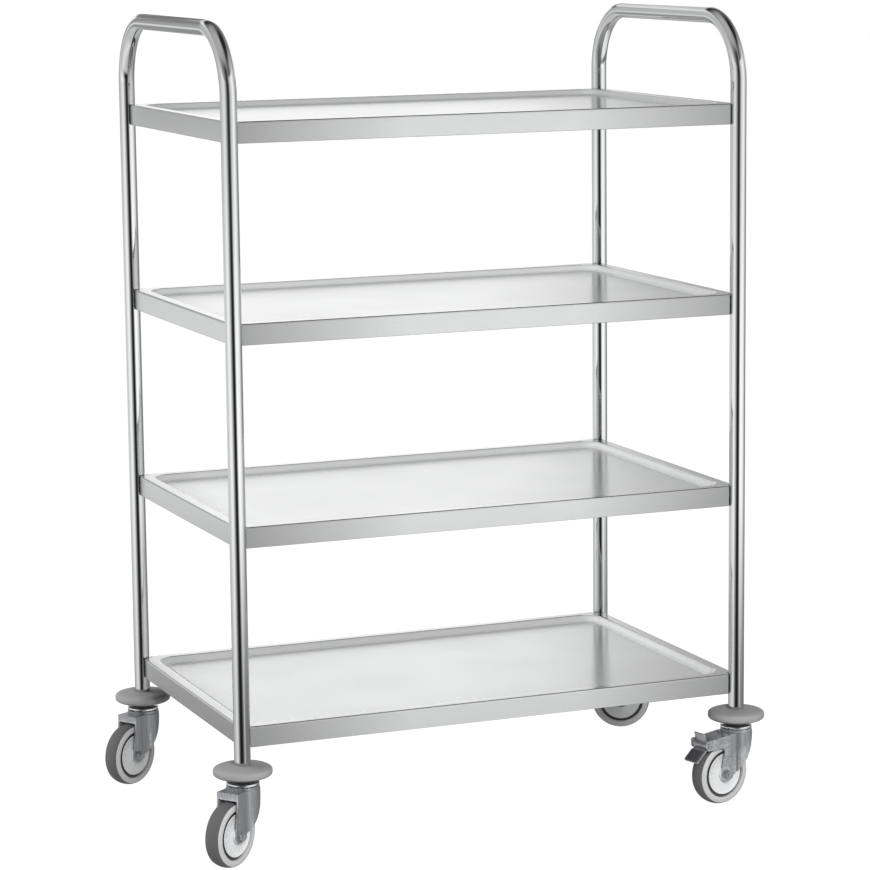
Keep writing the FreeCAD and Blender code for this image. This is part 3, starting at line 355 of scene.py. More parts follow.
def steel_finish(name, tint, rough, fineness, streak, unevenness, wear=1.0):
    """Bare or plated steel with polishing lines, uneven gloss and edges rubbed brighter."""
    steel = bpy.data.materials.new(name)
    steel.use_nodes = True
    tree = steel.node_tree
    shader = tree.nodes["Principled BSDF"]
    shader.inputs["Metallic"].default_value = 1.0
    tree.nodes.new("ShaderNodeTexCoord")
    grain = add_effect(steel, polishing_lines, {"Fineness": fineness})
    bloom = add_effect(steel, wiped_haze, {"Scale": 7.0})
    rubbing = add_effect(steel, worn_edges, {"Scale": 220.0})
    tone = mix_colours(tree, grain["Tone"], toned(tint, 1 - streak), tint)
    tone = mix_colours(tree, rubbing["Wear"], tone, toned(tint, wear))
    tree.links.new(tone, shader.inputs["Base Color"])
    gloss = spread(tree, bloom["Haze"], 0.0, 1.0, rough * (1 - unevenness), rough * (1 + unevenness))
    tree.links.new(gloss, shader.inputs["Roughness"])
    bump = tree.nodes.new("ShaderNodeBump")
    bump.inputs["Strength"].default_value = 0.02
    bump.inputs["Distance"].default_value = 0.0005
    tree.links.new(grain["Height"], bump.inputs["Height"])
    tree.links.new(bump.outputs["Normal"], shader.inputs["Normal"])
    return steel


tube_polish = steel_finish(
    "tube_polish", (0.63, 0.635, 0.64), rough=0.05, fineness=(900, 900, 6), streak=0.05, unevenness=0.15
)
tube_polish.node_tree.nodes["Bump"].inputs["Strength"].default_value = 0.004
for side, leg_x in LEG_X.items():
    tube = open_mesh(f"{side}_end_tube")
    bpy.ops.mesh.primitive_circle_add(
        vertices=72, radius=tube_radius, fill_type="NOTHING", location=(leg_x, LEG_Y["front"], foot_z)
    )
    draw(z=bend_z - foot_z)
    bpy.ops.mesh.spin(
        steps=24, angle=math.pi / 2, center=(leg_x, LEG_Y["front"] + bend_radius, bend_z), axis=(1, 0, 0)
    )
    draw(y=LEG_Y["rear"] - LEG_Y["front"] - 2 * bend_radius)
    bpy.ops.mesh.spin(
        steps=24, angle=math.pi / 2, center=(leg_x, LEG_Y["rear"] - bend_radius, bend_z), axis=(1, 0, 0)
    )
    draw(z=foot_z - bend_z)
    bpy.ops.mesh.select_all(action="DESELECT")
    bpy.ops.mesh.select_mode(type="EDGE")
    bpy.ops.mesh.select_non_manifold()
    bpy.ops.mesh.edge_face_add()
    bpy.ops.mesh.select_mode(type="VERT")
    close_mesh(tube)
    tube.data.materials.append(tube_polish)
    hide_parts(f"{side}_end_frame")
    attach(tube, "chassis")

# Shelves: drawn stainless trays with a flat rim, a sloped band and a sunk floor, apron turned down all round.
# The corners are notched round the legs, and the apron's lower edge is folded inwards and up as a hem.
# Satin finish, brushed along the length, with painted shade on the long aprons towards their ends and under
# the hem.
# The drawn slope is rougher, with painted light on the three lower shelves and painted shade on the top one.
# Plain mill finish underneath.
shelf_heights = {"top_shelf": 1.1105, "upper_shelf": 0.8140, "lower_shelf": 0.5100, "bottom_shelf": 0.2060}
trolley_centre = Vector((-0.009, 0.006, 0))
half_x, half_y = 0.415, 0.255
notch_radius, rim_width, slope_width, recess_depth = 0.0135, 0.018, 0.010, 0.009
recess_corner, apron_height, hem_height, hem_fold, sheet = 0.036, 0.032, 0.006, 0.0021, 0.001
top_bend, rim_bend, floor_bend, hem_bend = 0.0032, 0.0040, 0.0045, 0.0009
corner_steps = 12


def let_go():
    """Deselect every point, so that only the next shape is selected."""
    bpy.ops.mesh.select_mode(type="VERT")
    bpy.ops.mesh.select_all(action="DESELECT")


def pen(x, y, z):
    """Put down one selected point to draw from."""
    let_go()
    bpy.ops.mesh.primitive_plane_add(size=0.002, location=(x, y, z))
    bpy.ops.mesh.merge(type="CENTER")


def pick(piece, wanted):
    """Select the points of an open mesh that answer to a place."""
    bpy.ops.mesh.select_all(action="DESELECT")
    bpy.ops.mesh.select_mode(type="VERT")
    work = bmesh.from_edit_mesh(piece.data)
    for point in work.verts:
        point.select = wanted(point.co)
    work.select_flush(True)
    bmesh.update_edit_mesh(piece.data)


def pick_folds(piece, wanted):
    """Select the edges of an open mesh that are folded and whose two ends answer to a place."""
    bpy.ops.mesh.select_mode(type="EDGE")
    bpy.ops.mesh.select_all(action="DESELECT")
    work = bmesh.from_edit_mesh(piece.data)
    for edge in work.edges:
        folded = edge.calc_face_angle(0.0) > math.radians(20)
        edge.select = folded and all(wanted(point.co) for point in edge.verts)
    work.select_flush(False)
    bmesh.update_edit_mesh(piece.data)


def bridge():
    """Close the strip between two selected lines."""
    bpy.ops.mesh.select_mode(type="EDGE")
    bpy.ops.mesh.bridge_edge_loops()


def draw_outline(inset, z):
    """Quarter of the tray's outline with the leg's notch, from mid rear to mid right side."""
    radius = notch_radius + inset
    start = math.sqrt(radius ** 2 - inset ** 2)
    swing = math.pi / 2 - 2 * math.asin(inset / radius)
    pen(0, half_y - inset, z)
    draw(x=half_x - start)
    bpy.ops.mesh.spin(steps=corner_steps, angle=-swing, center=(half_x, half_y, z), axis=(0, 0, 1))
    draw(y=start - half_y)


def draw_recess_edge(inset, z):
    """Quarter of a rounded rectangle, from the middle of the rear to the middle of the right side."""
    straight_x = half_x - rim_width - recess_corner
    straight_y = half_y - rim_width - recess_corner
    pen(0, half_y - inset, z)
    draw(x=straight_x)
    corner = (straight_x, straight_y, z)
    bpy.ops.mesh.spin(steps=corner_steps, angle=math.pi / 2, center=corner, axis=(0, 0, 1))
    draw(y=-straight_y)


def on_outline(co):
    """Whether a point lies on the outer line of the apron."""
    from_corner = math.hypot(half_x - co.x, half_y - co.y)
    return max(co.x - half_x, co.y - half_y) > -0.0001 or from_corner < notch_radius + 0.0005


tray = open_mesh("tray_model")
draw_outline(0.0, 0)
draw_recess_edge(rim_width, 0)
bpy.ops.mesh.select_all(action="SELECT")
bridge()
draw_recess_edge(rim_width + slope_width, -recess_depth)
reach_x, reach_y = half_x - rim_width + 0.0001, half_y - rim_width + 0.0001
pick(tray, lambda co: co.x < reach_x and co.y < reach_y)
bridge()
floor_x, floor_y = half_x - rim_width - slope_width, half_y - rim_width - slope_width
pick(tray, lambda co: co.z < -0.001 and co.x < 0.0001)
draw(y=-floor_y)
pick(tray, lambda co: co.z < -0.001 and co.y < 0.0001 and co.x > 0.1)
draw(x=-floor_x)
bpy.ops.mesh.select_all(action="SELECT")
bpy.ops.mesh.remove_doubles(threshold=0.00001)
pick(tray, lambda co: co.z < -0.001)
bpy.ops.mesh.edge_face_add()
pick(tray, lambda co: co.z > -0.001 and (co.x > reach_x or co.y > reach_y))
draw(z=-apron_height)
draw_outline(hem_fold, -apron_height)
pick(tray, lambda co: co.z < 0.0001 - apron_height)
bridge()
pick(tray, lambda co: co.z < 0.0001 - apron_height and not on_outline(co))
draw(z=hem_height)
bpy.ops.object.mode_set(mode="OBJECT")
for axis in (0, 1):
    mirror = tray.modifiers.new("other_half", "MIRROR")
    mirror.use_axis = (axis == 0, axis == 1, False)
    mirror.merge_threshold = 0.00002
    bpy.ops.object.modifier_apply(modifier=mirror.name)
bpy.ops.object.mode_set(mode="EDIT")
bpy.ops.mesh.select_all(action="SELECT")
bpy.ops.mesh.remove_doubles(threshold=0.00001)
bpy.ops.mesh.normals_make_consistent(inside=False)
pick_folds(tray, lambda co: abs(co.z) < 0.0001 and (abs(co.x) > reach_x or abs(co.y) > reach_y))
bpy.ops.mesh.bevel(offset=top_bend, segments=6, affect="EDGES")
pick_folds(tray, lambda co: abs(co.z) < 0.0001 and abs(co.x) < reach_x and abs(co.y) < reach_y)
bpy.ops.mesh.bevel(offset=rim_bend, segments=5, affect="EDGES")
pick_folds(tray, lambda co: abs(co.z + recess_depth) < 0.0001)
bpy.ops.mesh.bevel(offset=floor_bend, segments=6, affect="EDGES")
pick_folds(tray, lambda co: abs(co.z + apron_height) < 0.0001)
bpy.ops.mesh.bevel(offset=hem_bend, segments=3, affect="EDGES")
bpy.ops.object.mode_set(mode="OBJECT")
bpy.ops.object.shade_smooth_by_angle(angle=math.radians(35))
for face in tray.data.polygons:
    inside_rim = abs(face.center.x) < reach_x and abs(face.center.y) < reach_y
    if inside_rim and 0.3 < face.normal.z < 0.985:
        face.material_index = 1
    elif inside_rim and face.center.z < -0.004 and face.normal.z > 0.9:
        face.material_index = 2
wall = tray.modifiers.new("sheet_thickness", "SOLIDIFY")
wall.thickness = sheet
wall.offset = -1.0
wall.material_offset = 3
bpy.ops.object.modifier_apply(modifier=wall.name)
evened = tray.modifiers.new("even_shading", "WEIGHTED_NORMAL")
evened.keep_sharp = True
bpy.ops.object.modifier_apply(modifier=evened.name)


def copy_of(model, name, matrix):
    """Copy of a model with a mesh of its own, put in its place."""
    copy = bpy.data.objects.new(name, model.data.copy())
    copy.data.transform(matrix)
    bpy.context.scene.collection.objects.link(copy)
    return copy


satin_tint = (0.63, 0.635, 0.64)
painted_shade_from, painted_shade_to = 0.14, 0.42
shelf_satin = steel_finish(
    "shelf_satin", satin_tint, rough=0.20, fineness=(14, 900, 900), streak=0.06, unevenness=0.05
)
satin = shelf_satin.node_tree
satin_shader = satin.nodes["Principled BSDF"]
satin_shader.inputs["Anisotropic"].default_value = 0.7
across_grain = satin.nodes.new("ShaderNodeCombineXYZ")
across_grain.inputs["Y"].default_value = 1.0
across_grain.inputs["Z"].default_value = 0.02
satin.links.new(across_grain.outputs["Vector"], satin_shader.inputs["Tangent"])
# Painted shade: on faces turned to front or back, the long aprons are coloured half as bright towards their
# ends.
spot = satin.nodes.new("ShaderNodeSeparateXYZ")
satin.links.new(satin.nodes["Texture Coordinate"].outputs["Object"], spot.inputs["Vector"])
from_middle = calculate(satin, "ABSOLUTE", calculate(satin, "SUBTRACT", spot.outputs["X"], trolley_centre.x))
facing = satin.nodes.new("ShaderNodeNewGeometry")
facing_way = satin.nodes.new("ShaderNodeSeparateXYZ")
satin.links.new(facing.outputs["Normal"], facing_way.inputs["Vector"])
long_side = calculate(satin, "POWER", calculate(satin, "ABSOLUTE", facing_way.outputs["Y"]), 4.0)
painted_end_shade = calculate(satin, "MULTIPLY", spread(satin, from_middle, painted_shade_from, painted_shade_to), long_side)
plain_tone = satin_shader.inputs["Base Color"].links[0].from_socket
painted_shade_tone = mix_colours(satin, painted_end_shade, plain_tone, toned(satin_tint, 0.5))
# Painted shade: faces that look down, such as the hem's lower bend, are coloured nearly black.
painted_underside_shade = spread(satin, facing_way.outputs["Z"], -0.2, -0.7)
painted_shade_tone = mix_colours(satin, painted_underside_shade, painted_shade_tone, toned(satin_tint, 0.15))
satin.links.new(painted_shade_tone, satin_shader.inputs["Base Color"])
# Painted light: the drawn slope is pale and only partly metallic, standing in for light bounced between the
# shelves.
drawn_band = steel_finish(
    "drawn_band", (0.80, 0.805, 0.81), rough=0.42, fineness=(60, 900, 900), streak=0.05, unevenness=0.1
)
# Painted shade: on the top shelf, picked out by height, the slope is coloured darker and made more metallic.
painted_top_band_shade = (0.62, 0.625, 0.63)
band = drawn_band.node_tree
band_shader = band.nodes["Principled BSDF"]
band_place = band.nodes.new("ShaderNodeSeparateXYZ")
band.links.new(band.nodes["Texture Coordinate"].outputs["Object"], band_place.inputs["Vector"])
top_shelf_shade_mask = spread(band, band_place.outputs["Z"], 1.00, 1.05)
painted_light_band_tone = band_shader.inputs["Base Color"].links[0].from_socket
painted_band_tone = mix_colours(band, top_shelf_shade_mask, painted_light_band_tone, painted_top_band_shade)
band.links.new(painted_band_tone, band_shader.inputs["Base Color"])
band.links.new(spread(band, top_shelf_shade_mask, 0.0, 1.0, 0.32, 0.4), band_shader.inputs["Metallic"])
mill_side = steel_finish(
    "mill_side", (0.82, 0.825, 0.83), rough=0.45, fineness=(120, 900, 900), streak=0.05, unevenness=0.1
)
floor_satin = shelf_satin.copy()
floor_satin.name = "floor_satin"
flat = floor_satin.node_tree
flat_spot = flat.nodes[spot.name].outputs
beside = []
for label, middle, reach in (("X", trolley_centre.x, floor_x), ("Y", trolley_centre.y, floor_y)):
    off_middle = calculate(flat, "ABSOLUTE", calculate(flat, "SUBTRACT", flat_spot[label], middle))
    beside.append(calculate(flat, "SUBTRACT", reach, off_middle))
from_band = calculate(flat, "MINIMUM", *beside)
dull_edge = 0.050
floor_sheen = spread(flat, from_band, 0.0, dull_edge, 0.5, 0.72)
flat.links.new(floor_sheen, flat.nodes["Principled BSDF"].inputs["Metallic"])
for finish in (shelf_satin, drawn_band, floor_satin, mill_side):
    tray.data.materials.append(finish)
for label, shelf_z in shelf_heights.items():
    shelf = copy_of(tray, f"{label}_tray", Matrix.Translation(trolley_centre + Vector((0, 0, shelf_z))))
    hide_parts(label)
    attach(shelf, "chassis")
bpy.data.objects.remove(tray)

# Shelf fixings: hexagon bolts with saddle washers, screwed from inside each shelf corner into rivet nuts
# in the legs. Zinc plated steel, hidden behind the aprons.
zinc_plate = steel_finish(
    "zinc_plate", (0.38, 0.385, 0.40),
    rough=0.28, fineness=(330, 330, 8), streak=0.42, unevenness=0.15, wear=1.25,
)
zinc_plate.node_tree.nodes["Principled BSDF"].inputs["Metallic"].default_value = 0.7


def finish_node(name, material):
    """Give a solid that stays as it is its real finish."""
    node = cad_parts[name]
    node.data.materials.clear()
    node.data.materials.append(material)


for name in ("shelf_bolts", "saddle_washers", "rivet_nuts"):
    finish_node(name, zinc_plate)

# Castor stems and plugs: a steel plug in each leg's foot takes the castor's stem, whose riveted head holds
# the fork. Both are out of sight, inside leg, bumper and swivel head.
castors = {
    "front_left": (LEG_X["left"], LEG_Y["front"], -144.4),
    "rear_left": (LEG_X["left"], LEG_Y["rear"], -148.7),
    "front_right": (LEG_X["right"], LEG_Y["front"], -165.8),
    "rear_right": (LEG_X["right"], LEG_Y["rear"], -22.0),
}
for corner in castors:
    finish_node(f"{corner}_leg_plug", zinc_plate)
    finish_node(f"{corner}_stem", zinc_plate)

# Bumper discs: soft grey moulded rings between leg and castor, lens shaped, so that the trolley glances off
# walls. The leg's foot stands in a socket in the top face.
moulded_skin, entry, leave = new_effect(
    "moulded_skin",
    (position, ("Patches", "NodeSocketFloat", 35.0), ("Grain", "NodeSocketFloat", 900.0)),
    ("Mottle", "Height"),
)
patches = speckle(moulded_skin, entry.outputs["Position"], entry.outputs["Patches"], 5.0)
fine_grain = speckle(moulded_skin, entry.outputs["Position"], entry.outputs["Grain"], 3.0)
moulded_skin.links.new(spread(moulded_skin, patches, 0.2, 0.8), leave.inputs["Mottle"])
moulded_skin.links.new(fine_grain, leave.inputs["Height"])


def moulded(name, tint, rough, grain, depth, mottle, wear):
    """Moulded plastic or rubber: fine grain, slightly uneven colour and gloss, edges rubbed paler."""
    plastic = bpy.data.materials.new(name)
    plastic.use_nodes = True
    tree = plastic.node_tree
    shader = tree.nodes["Principled BSDF"]
    tree.nodes.new("ShaderNodeTexCoord")
    skin = add_effect(plastic, moulded_skin, {"Patches": 35.0, "Grain": grain})
    rubbing = add_effect(plastic, worn_edges, {"Scale": 140.0})
    tone = mix_colours(tree, skin["Mottle"], toned(tint, 1 - mottle), toned(tint, 1 + mottle))
    tone = mix_colours(tree, rubbing["Wear"], tone, toned(tint, wear))
    tree.links.new(tone, shader.inputs["Base Color"])
    gloss = spread(tree, skin["Mottle"], 0.0, 1.0, rough * 0.88, rough * 1.12)
    tree.links.new(gloss, shader.inputs["Roughness"])
    bump = tree.nodes.new("ShaderNodeBump")
    bump.inputs["Strength"].default_value = 0.25
    bump.inputs["Distance"].default_value = depth
    tree.links.new(skin["Height"], bump.inputs["Height"])
    tree.links.new(bump.outputs["Normal"], shader.inputs["Normal"])
    return plastic


def turn_profile(profile, axis, steps):
    """Draw a half section through the given radius and height pairs and spin it once round an axis."""
    points = [(radius, 0, along) if axis == "Z" else (radius, along, 0) for radius, along in profile]
    pen(*points[0])
    for start, end in zip(points, points[1:]):
        draw(*(b - a for a, b in zip(start, end)))
    bpy.ops.mesh.select_all(action="SELECT")
    axis_way = (0, 0, 1) if axis == "Z" else (0, 1, 0)
    bpy.ops.mesh.spin(steps=steps, angle=2 * math.pi, center=(0, 0, 0), axis=axis_way)


def castor_place(corner):
    """Where a castor stands: under its leg, turned to its heading."""
    x, y, heading = castors[corner]
    return Matrix.Translation((x, y, 0)) @ Matrix.Rotation(math.radians(heading), 4, "Z")


bumper_grey = moulded(
    "bumper_grey", (0.26, 0.26, 0.265), rough=0.55, grain=900.0, depth=0.0002, mottle=0.04, wear=1.1
)
bumper_radius, bumper_middle, bumper_half = 0.045, 0.13975, 0.00975
bumper_top, bumper_bottom, socket_floor = 0.1495, 0.1300, 0.1470
socket_radius, stem_hole, seat_radius, swell = 0.01252, 0.0062, 0.017, 0.62
profile = [(socket_radius, socket_floor), (socket_radius, bumper_top), (seat_radius, bumper_top)]
for step in range(1, 36):
    angle = math.radians(90 - 5 * step)
    across = math.copysign(abs(math.cos(angle)) ** swell, math.cos(angle))
    rise = math.copysign(abs(math.sin(angle)) ** swell, math.sin(angle))
    if bumper_radius * across > seat_radius + 0.001:
        profile.append((bumper_radius * across, bumper_middle + bumper_half * rise))
profile += [(seat_radius, bumper_bottom), (stem_hole, bumper_bottom), (stem_hole, socket_floor), profile[0]]
disc = open_mesh("bumper_model")
turn_profile(profile, "Z", 72)
close_mesh(disc, sharp=40)
disc.data.materials.append(bumper_grey)
for corner in castors:
    bumper = copy_of(disc, f"{corner}_bumper_disc", castor_place(corner))
    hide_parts(f"{corner}_bumper")
    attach(bumper, "chassis")
bpy.data.objects.remove(disc)

# Swivel heads: an upper race pressed from sheet, riveted under the bumper by the stem, on a ring of balls.
# The balls run in the rim on the fork's crown, and the race is plated brighter than the fork.
bearing_steel = steel_finish(
    "bearing_steel", (0.70, 0.70, 0.71), rough=0.10, fineness=(300, 300, 300), streak=0.05, unevenness=0.1
)
race_plate = steel_finish(
    "race_plate", (0.70, 0.71, 0.72),
    rough=0.16, fineness=(60, 60, 700), streak=0.15, unevenness=0.15, wear=1.15,
)
ring = open_mesh("top_race_model")
turn_profile(
    [
        (0.00606, 0.1300), (0.00606, 0.1196), (0.0235, 0.1196), (0.0246, 0.1200), (0.0250, 0.1209),
        (0.0250, 0.1226), (0.0246, 0.1236), (0.0236, 0.1241), (0.0175, 0.1243), (0.0160, 0.1250),
        (0.0152, 0.1262), (0.0150, 0.1300), (0.00606, 0.1300),
    ],
    "Z",
    72,
)
close_mesh(ring, sharp=50)
ring.data.materials.append(race_plate)
for corner in castors:
    race = copy_of(ring, f"{corner}_upper_race", castor_place(corner))
    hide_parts(f"{corner}_top_race")
    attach(race, "chassis")
    finish_node(f"{corner}_bearing_balls", bearing_steel)
bpy.data.objects.remove(ring)

# Forks: pressed from one blank of sheet steel and zinc plated, with a rim for the balls on the crown.
# The plain forks have a turned-down lip over the wheel, the braked ones reach forward in two arms.
# On each arm a small pip is pressed outwards, which stiffens the bend.
plate_face = 0.0195
for corner in castors:
    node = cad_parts[f"{corner}_fork"]
    pressing = copy_of(node, f"{corner}_fork_pressing", Matrix.Identity(4))
    bpy.ops.object.select_all(action="DESELECT")
    bpy.context.view_layer.objects.active = pressing
    pressing.select_set(True)
    bpy.ops.object.mode_set(mode="EDIT")
    bpy.ops.mesh.select_all(action="SELECT")
    bpy.ops.mesh.remove_doubles(threshold=0.00001)
    bpy.ops.mesh.dissolve_limited(angle_limit=math.radians(1.0))
    bpy.ops.object.mode_set(mode="OBJECT")
    rounded = pressing.modifiers.new("rolled_edges", "BEVEL")
    rounded.width = 0.0007
    rounded.segments = 3
    rounded.limit_method = "ANGLE"
    rounded.angle_limit = math.radians(40)
    bpy.ops.object.modifier_apply(modifier=rounded.name)
    bpy.ops.object.mode_set(mode="EDIT")
    bpy.ops.mesh.select_all(action="SELECT")
    # Points within the large faces keep the wear on the edges.
    bpy.ops.mesh.quads_convert_to_tris()
    bpy.ops.mesh.subdivide(number_cuts=2)
    if corner.endswith("right"):
        for side in (-1, 1):
            bpy.ops.mesh.select_all(action="DESELECT")
            middle = castor_place(corner) @ Vector((0.0405, side * (plate_face - 0.0016), 0.1062))
            bpy.ops.mesh.primitive_uv_sphere_add(segments=20, ring_count=12, radius=0.0024, location=middle)
    bpy.ops.object.mode_set(mode="OBJECT")
    bpy.ops.object.shade_smooth_by_angle(angle=math.radians(40))
    evened = pressing.modifiers.new("even_shading", "WEIGHTED_NORMAL")
    evened.keep_sharp = True
    bpy.ops.object.modifier_apply(modifier=evened.name)
    pressing.data.materials.clear()
    pressing.data.materials.append(zinc_plate)
    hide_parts(f"{corner}_fork")
    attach(pressing, f"{corner}_swivel")

# Axles: an 8 mm hexagon bolt through fork and sleeve, with a nut on the outside.
# The sleeve is clamped between the fork's plates and stays out of sight inside the wheel.
trail, axle_z = 0.035, 0.050
flats = 0.013


def hexagon(y0, y1, outer):
    """Hexagonal block across the fork between two faces, its outer corners chamfered."""
    let_go()
    bpy.ops.mesh.primitive_cylinder_add(
        vertices=6, radius=flats / math.sqrt(3), depth=abs(y1 - y0), location=(trail, (y0 + y1) / 2, axle_z),
        rotation=(math.pi / 2, 0, 0),
    )
    work = bmesh.from_edit_mesh(bpy.context.object.data)
    for point in work.verts:
        point.select = point.select and abs(point.co.y - outer) < 0.0001
    work.select_flush(False)
    bmesh.update_edit_mesh(bpy.context.object.data)
    bpy.ops.mesh.bevel(offset=0.0014, segments=2, affect="VERTICES")


def rod(radius, x, z, y0, y1, rounding):
    """Round bar across the fork, its ends rounded off."""
    let_go()
    bpy.ops.mesh.primitive_cylinder_add(
        vertices=40, radius=radius, depth=abs(y1 - y0), location=(x, (y0 + y1) / 2, z),
        rotation=(math.pi / 2, 0, 0),
    )
    work = bmesh.from_edit_mesh(bpy.context.object.data)
    for edge in work.edges:
        edge.select = edge.select and abs(edge.verts[0].co.y - edge.verts[1].co.y) < 0.00001
    work.select_flush(False)
    bmesh.update_edit_mesh(bpy.context.object.data)
    bpy.ops.mesh.select_mode(type="EDGE")
    bpy.ops.mesh.bevel(offset=rounding, segments=3, affect="EDGES")


bolt_end, nut_end, head_height = 0.0280, 0.0260, 0.0053
bolt_model = open_mesh("axle_bolt_model")
rod(0.004, trail, axle_z, -plate_face, bolt_end, rounding=0.0008)
hexagon(-plate_face - head_height, -plate_face, outer=-plate_face - head_height)
close_mesh(bolt_model)
bolt_model.data.materials.append(zinc_plate)
nut_model = open_mesh("axle_nut_model")
hexagon(plate_face, nut_end, outer=nut_end)
close_mesh(nut_model)
nut_model.data.materials.append(zinc_plate)
for corner in castors:
    for model, piece_name, node_name in (
        (bolt_model, "axle_hexagon_bolt", "axle_bolt"), (nut_model, "axle_hexagon_nut", "axle_nut")
    ):
        piece = copy_of(model, f"{corner}_{piece_name}", castor_place(corner))
        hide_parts(f"{corner}_{node_name}")
        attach(piece, f"{corner}_swivel")
    finish_node(f"{corner}_axle_sleeve", zinc_plate)
bpy.data.objects.remove(bolt_model)
bpy.data.objects.remove(nut_model)

# Wheel centres: moulded in pale grey plastic, a web with radial ribs between hub and rim.
# A deep groove runs round the rim on both faces, inside the bead of the tyre; its faces are painted near
# black as shade.
wheel_grey = moulded(
    "wheel_grey", (0.56, 0.565, 0.57), rough=0.38, grain=1400.0, depth=0.0001, mottle=0.03, wear=1.1
)
groove_painted_shade = moulded(
    "groove_painted_shade", (0.05, 0.05, 0.052), rough=0.7, grain=900.0, depth=0.0002, mottle=0.1, wear=1.0
)
groove_radius = 0.03302
centre = open_mesh("wheel_centre_model")
half = [
    (0.00606, 0.0160), (0.0066, 0.0165), (0.0114, 0.0165), (0.0120, 0.0159), (0.0122, 0.0126),
    (0.0130, 0.0122), (0.0298, 0.0122), (0.0306, 0.0127), (0.0312, 0.0131), (0.0324, 0.0132),
    (0.0330, 0.0127), (0.0331, 0.0090), (0.0379, 0.0090),
]
turn_profile(half + [(radius, -across) for radius, across in reversed(half)] + half[:1], "Y", 96)
bpy.ops.mesh.select_all(action="DESELECT")
bpy.ops.mesh.primitive_cube_add(size=1.0, location=(0.0212, 0, 0), scale=(0.0188, 0.0250, 0.0013))
bpy.ops.mesh.spin(steps=18, angle=2 * math.pi, center=(0, 0, 0), axis=(0, 1, 0), dupli=True)
close_mesh(centre, sharp=40)
centre.data.materials.append(wheel_grey)
centre.data.materials.append(groove_painted_shade)
# Painted shade: the faces beyond groove_radius, deep in the groove, take the near-black material.
for face in centre.data.polygons:
    if math.hypot(face.center.x, face.center.z) > groove_radius:
        face.material_index = 1
centre.data.transform(Matrix.Translation((trail, 0, axle_z)))
for corner in castors:
    piece = copy_of(centre, f"{corner}_wheel_moulding", castor_place(corner))
    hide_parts(f"{corner}_wheel_centre")
    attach(piece, f"{corner}_wheel")
bpy.data.objects.remove(centre)

# Tyres: non-marking grey rubber with a rounded tread and smooth side bands, the tread painted far darker as
# shade.
# Each one is moulded onto the rim of its wheel centre.
band_grey = moulded(
    "band_grey", (0.42, 0.42, 0.425), rough=0.50, grain=900.0, depth=0.0002, mottle=0.04, wear=1.1
)
tread_painted_shade = moulded(
    "tread_painted_shade", (0.09, 0.09, 0.093), rough=0.62, grain=700.0, depth=0.0003, mottle=0.08, wear=1.15
)
tread_edge = 0.0467
crown_radius, tread_radius, bead_radius = 0.0267, 0.0500, 0.03805
ring = open_mesh("tyre_model")
half = [(bead_radius, 0.0130), (0.0383, 0.0137), (0.0389, 0.0139), (0.0462, 0.01245), (0.0470, 0.0119)]
for degrees in (24.5, 18, 12, 6):
    lean = math.radians(degrees)
    half.append((tread_radius - crown_radius * (1 - math.cos(lean)), crown_radius * math.sin(lean)))
other_half = [(radius, -across) for radius, across in reversed(half)]
turn_profile(half + [(tread_radius, 0)] + other_half + half[:1], "Y", 120)
close_mesh(ring, sharp=60)
ring.data.materials.append(band_grey)
ring.data.materials.append(tread_painted_shade)
# Painted shade: the tread takes the same rubber as the side bands, coloured far darker.
for face in ring.data.polygons:
    if math.hypot(face.center.x, face.center.z) > tread_edge:
        face.material_index = 1
ring.data.transform(Matrix.Translation((trail, 0, axle_z)))
for corner in castors:
    piece = copy_of(ring, f"{corner}_rubber_tyre", castor_place(corner))
    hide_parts(f"{corner}_tyre")
    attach(piece, f"{corner}_wheel")
bpy.data.objects.remove(ring)

# Foot brakes on the two right castors: a steel pedal on a pin between the fork's arms, with a ribbed pad.
# Its cam presses on the tyre when the foot pad goes down, and the tab above the pin lets it off again.
pad_dark = moulded(
    "pad_dark", (0.045, 0.045, 0.048), rough=0.5, grain=1200.0, depth=0.0002, mottle=0.08, wear=1.6
)
pivot_x, pivot_z = 0.071, 0.1015
pedal_angle, tab_angle, cam_angle = -42, 73, -106.9
rib_start, rib_pitch, rib_width = 0.0140, 0.0039, 0.0018


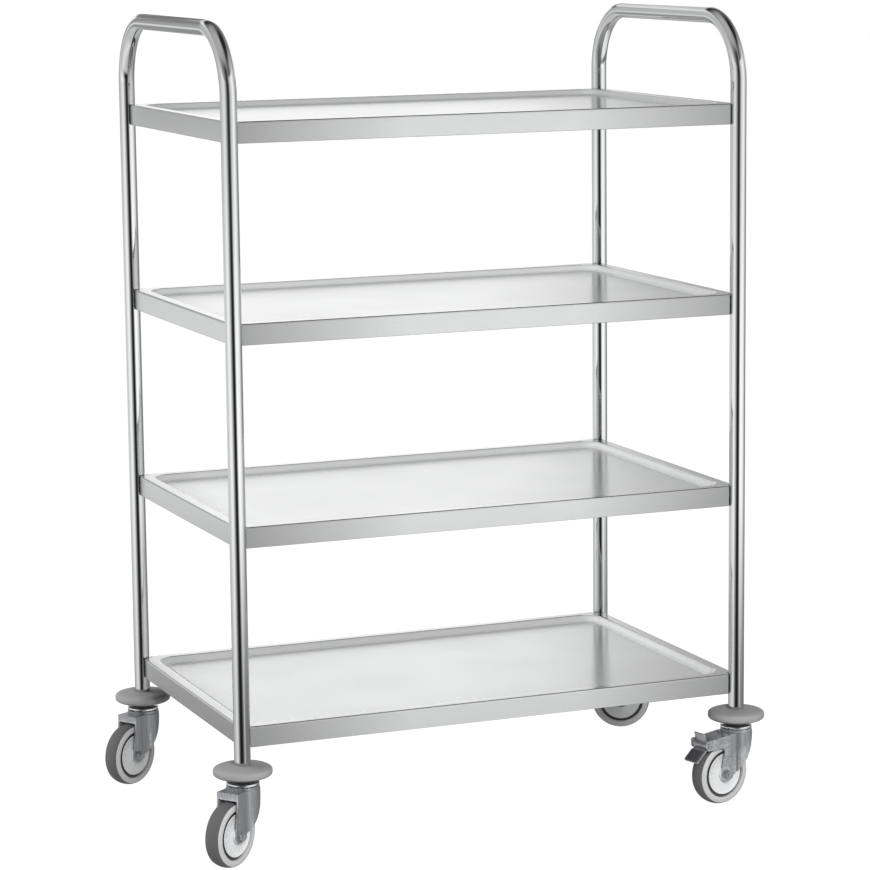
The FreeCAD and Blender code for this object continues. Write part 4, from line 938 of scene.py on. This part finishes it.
def plate(angle, start, end, low, high, width, rounding):
    """Flat bar from the brake's pivot along an angle in degrees, its edges rounded."""
    let_go()
    turn_by = math.radians(angle)
    along, side = (start + end) / 2, (low + high) / 2
    middle = (
        pivot_x + along * math.cos(turn_by) - side * math.sin(turn_by),
        0,
        pivot_z + along * math.sin(turn_by) + side * math.cos(turn_by),
    )
    bpy.ops.mesh.primitive_cube_add(
        size=1.0, location=middle, rotation=(0, -turn_by, 0), scale=(end - start, width, high - low)
    )
    bpy.ops.mesh.select_mode(type="EDGE")
    bpy.ops.mesh.bevel(offset=rounding, segments=3, affect="EDGES")


pedal_model = open_mesh("pedal_model")
rod(0.0065, pivot_x, pivot_z, -0.0165, 0.0165, rounding=0.0006)
plate(pedal_angle, 0.004, 0.034, low=-0.0041, high=-0.0016, width=0.030, rounding=0.0006)
plate(tab_angle, 0.004, 0.0204, low=-0.00125, high=0.00125, width=0.024, rounding=0.0006)
plate(cam_angle, 0.004, 0.0122, low=-0.0025, high=0.0025, width=0.016, rounding=0.0008)
close_mesh(pedal_model)
pedal_model.data.materials.append(zinc_plate)
pad_model = open_mesh("pad_model")
plate(pedal_angle, 0.012, 0.0332, low=-0.0016, high=0.0008, width=0.0284, rounding=0.0006)
for rib in range(5):
    start = rib_start + rib_pitch * rib
    plate(pedal_angle, start, start + rib_width, low=0.0004, high=0.0014, width=0.0262, rounding=0.0004)
close_mesh(pad_model)
pad_model.data.materials.append(pad_dark)
pin_model = open_mesh("pin_model")
rod(0.0030, pivot_x, pivot_z, -plate_face, plate_face, rounding=0.0003)
for side in (-1, 1):
    rod(0.0045, pivot_x, pivot_z, side * plate_face, side * (plate_face + 0.0015), rounding=0.0004)
close_mesh(pin_model)
pin_model.data.materials.append(zinc_plate)
for corner in ("front_right", "rear_right"):
    for model, piece_name, node_name, body, slot in (
        (pedal_model, "foot_pedal", "brake_pedal", "brake", "plated_steel"),
        (pad_model, "pedal_pad", "brake_pad", "brake", "pad_plastic"),
        (pin_model, "pedal_pin", "brake_pin", "swivel", "plated_steel"),
    ):
        piece = copy_of(model, f"{corner}_{piece_name}", castor_place(corner))
        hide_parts(f"{corner}_{node_name}")
        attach(piece, f"{corner}_{body}")
for model in (pedal_model, pad_model, pin_model):
    bpy.data.objects.remove(model)
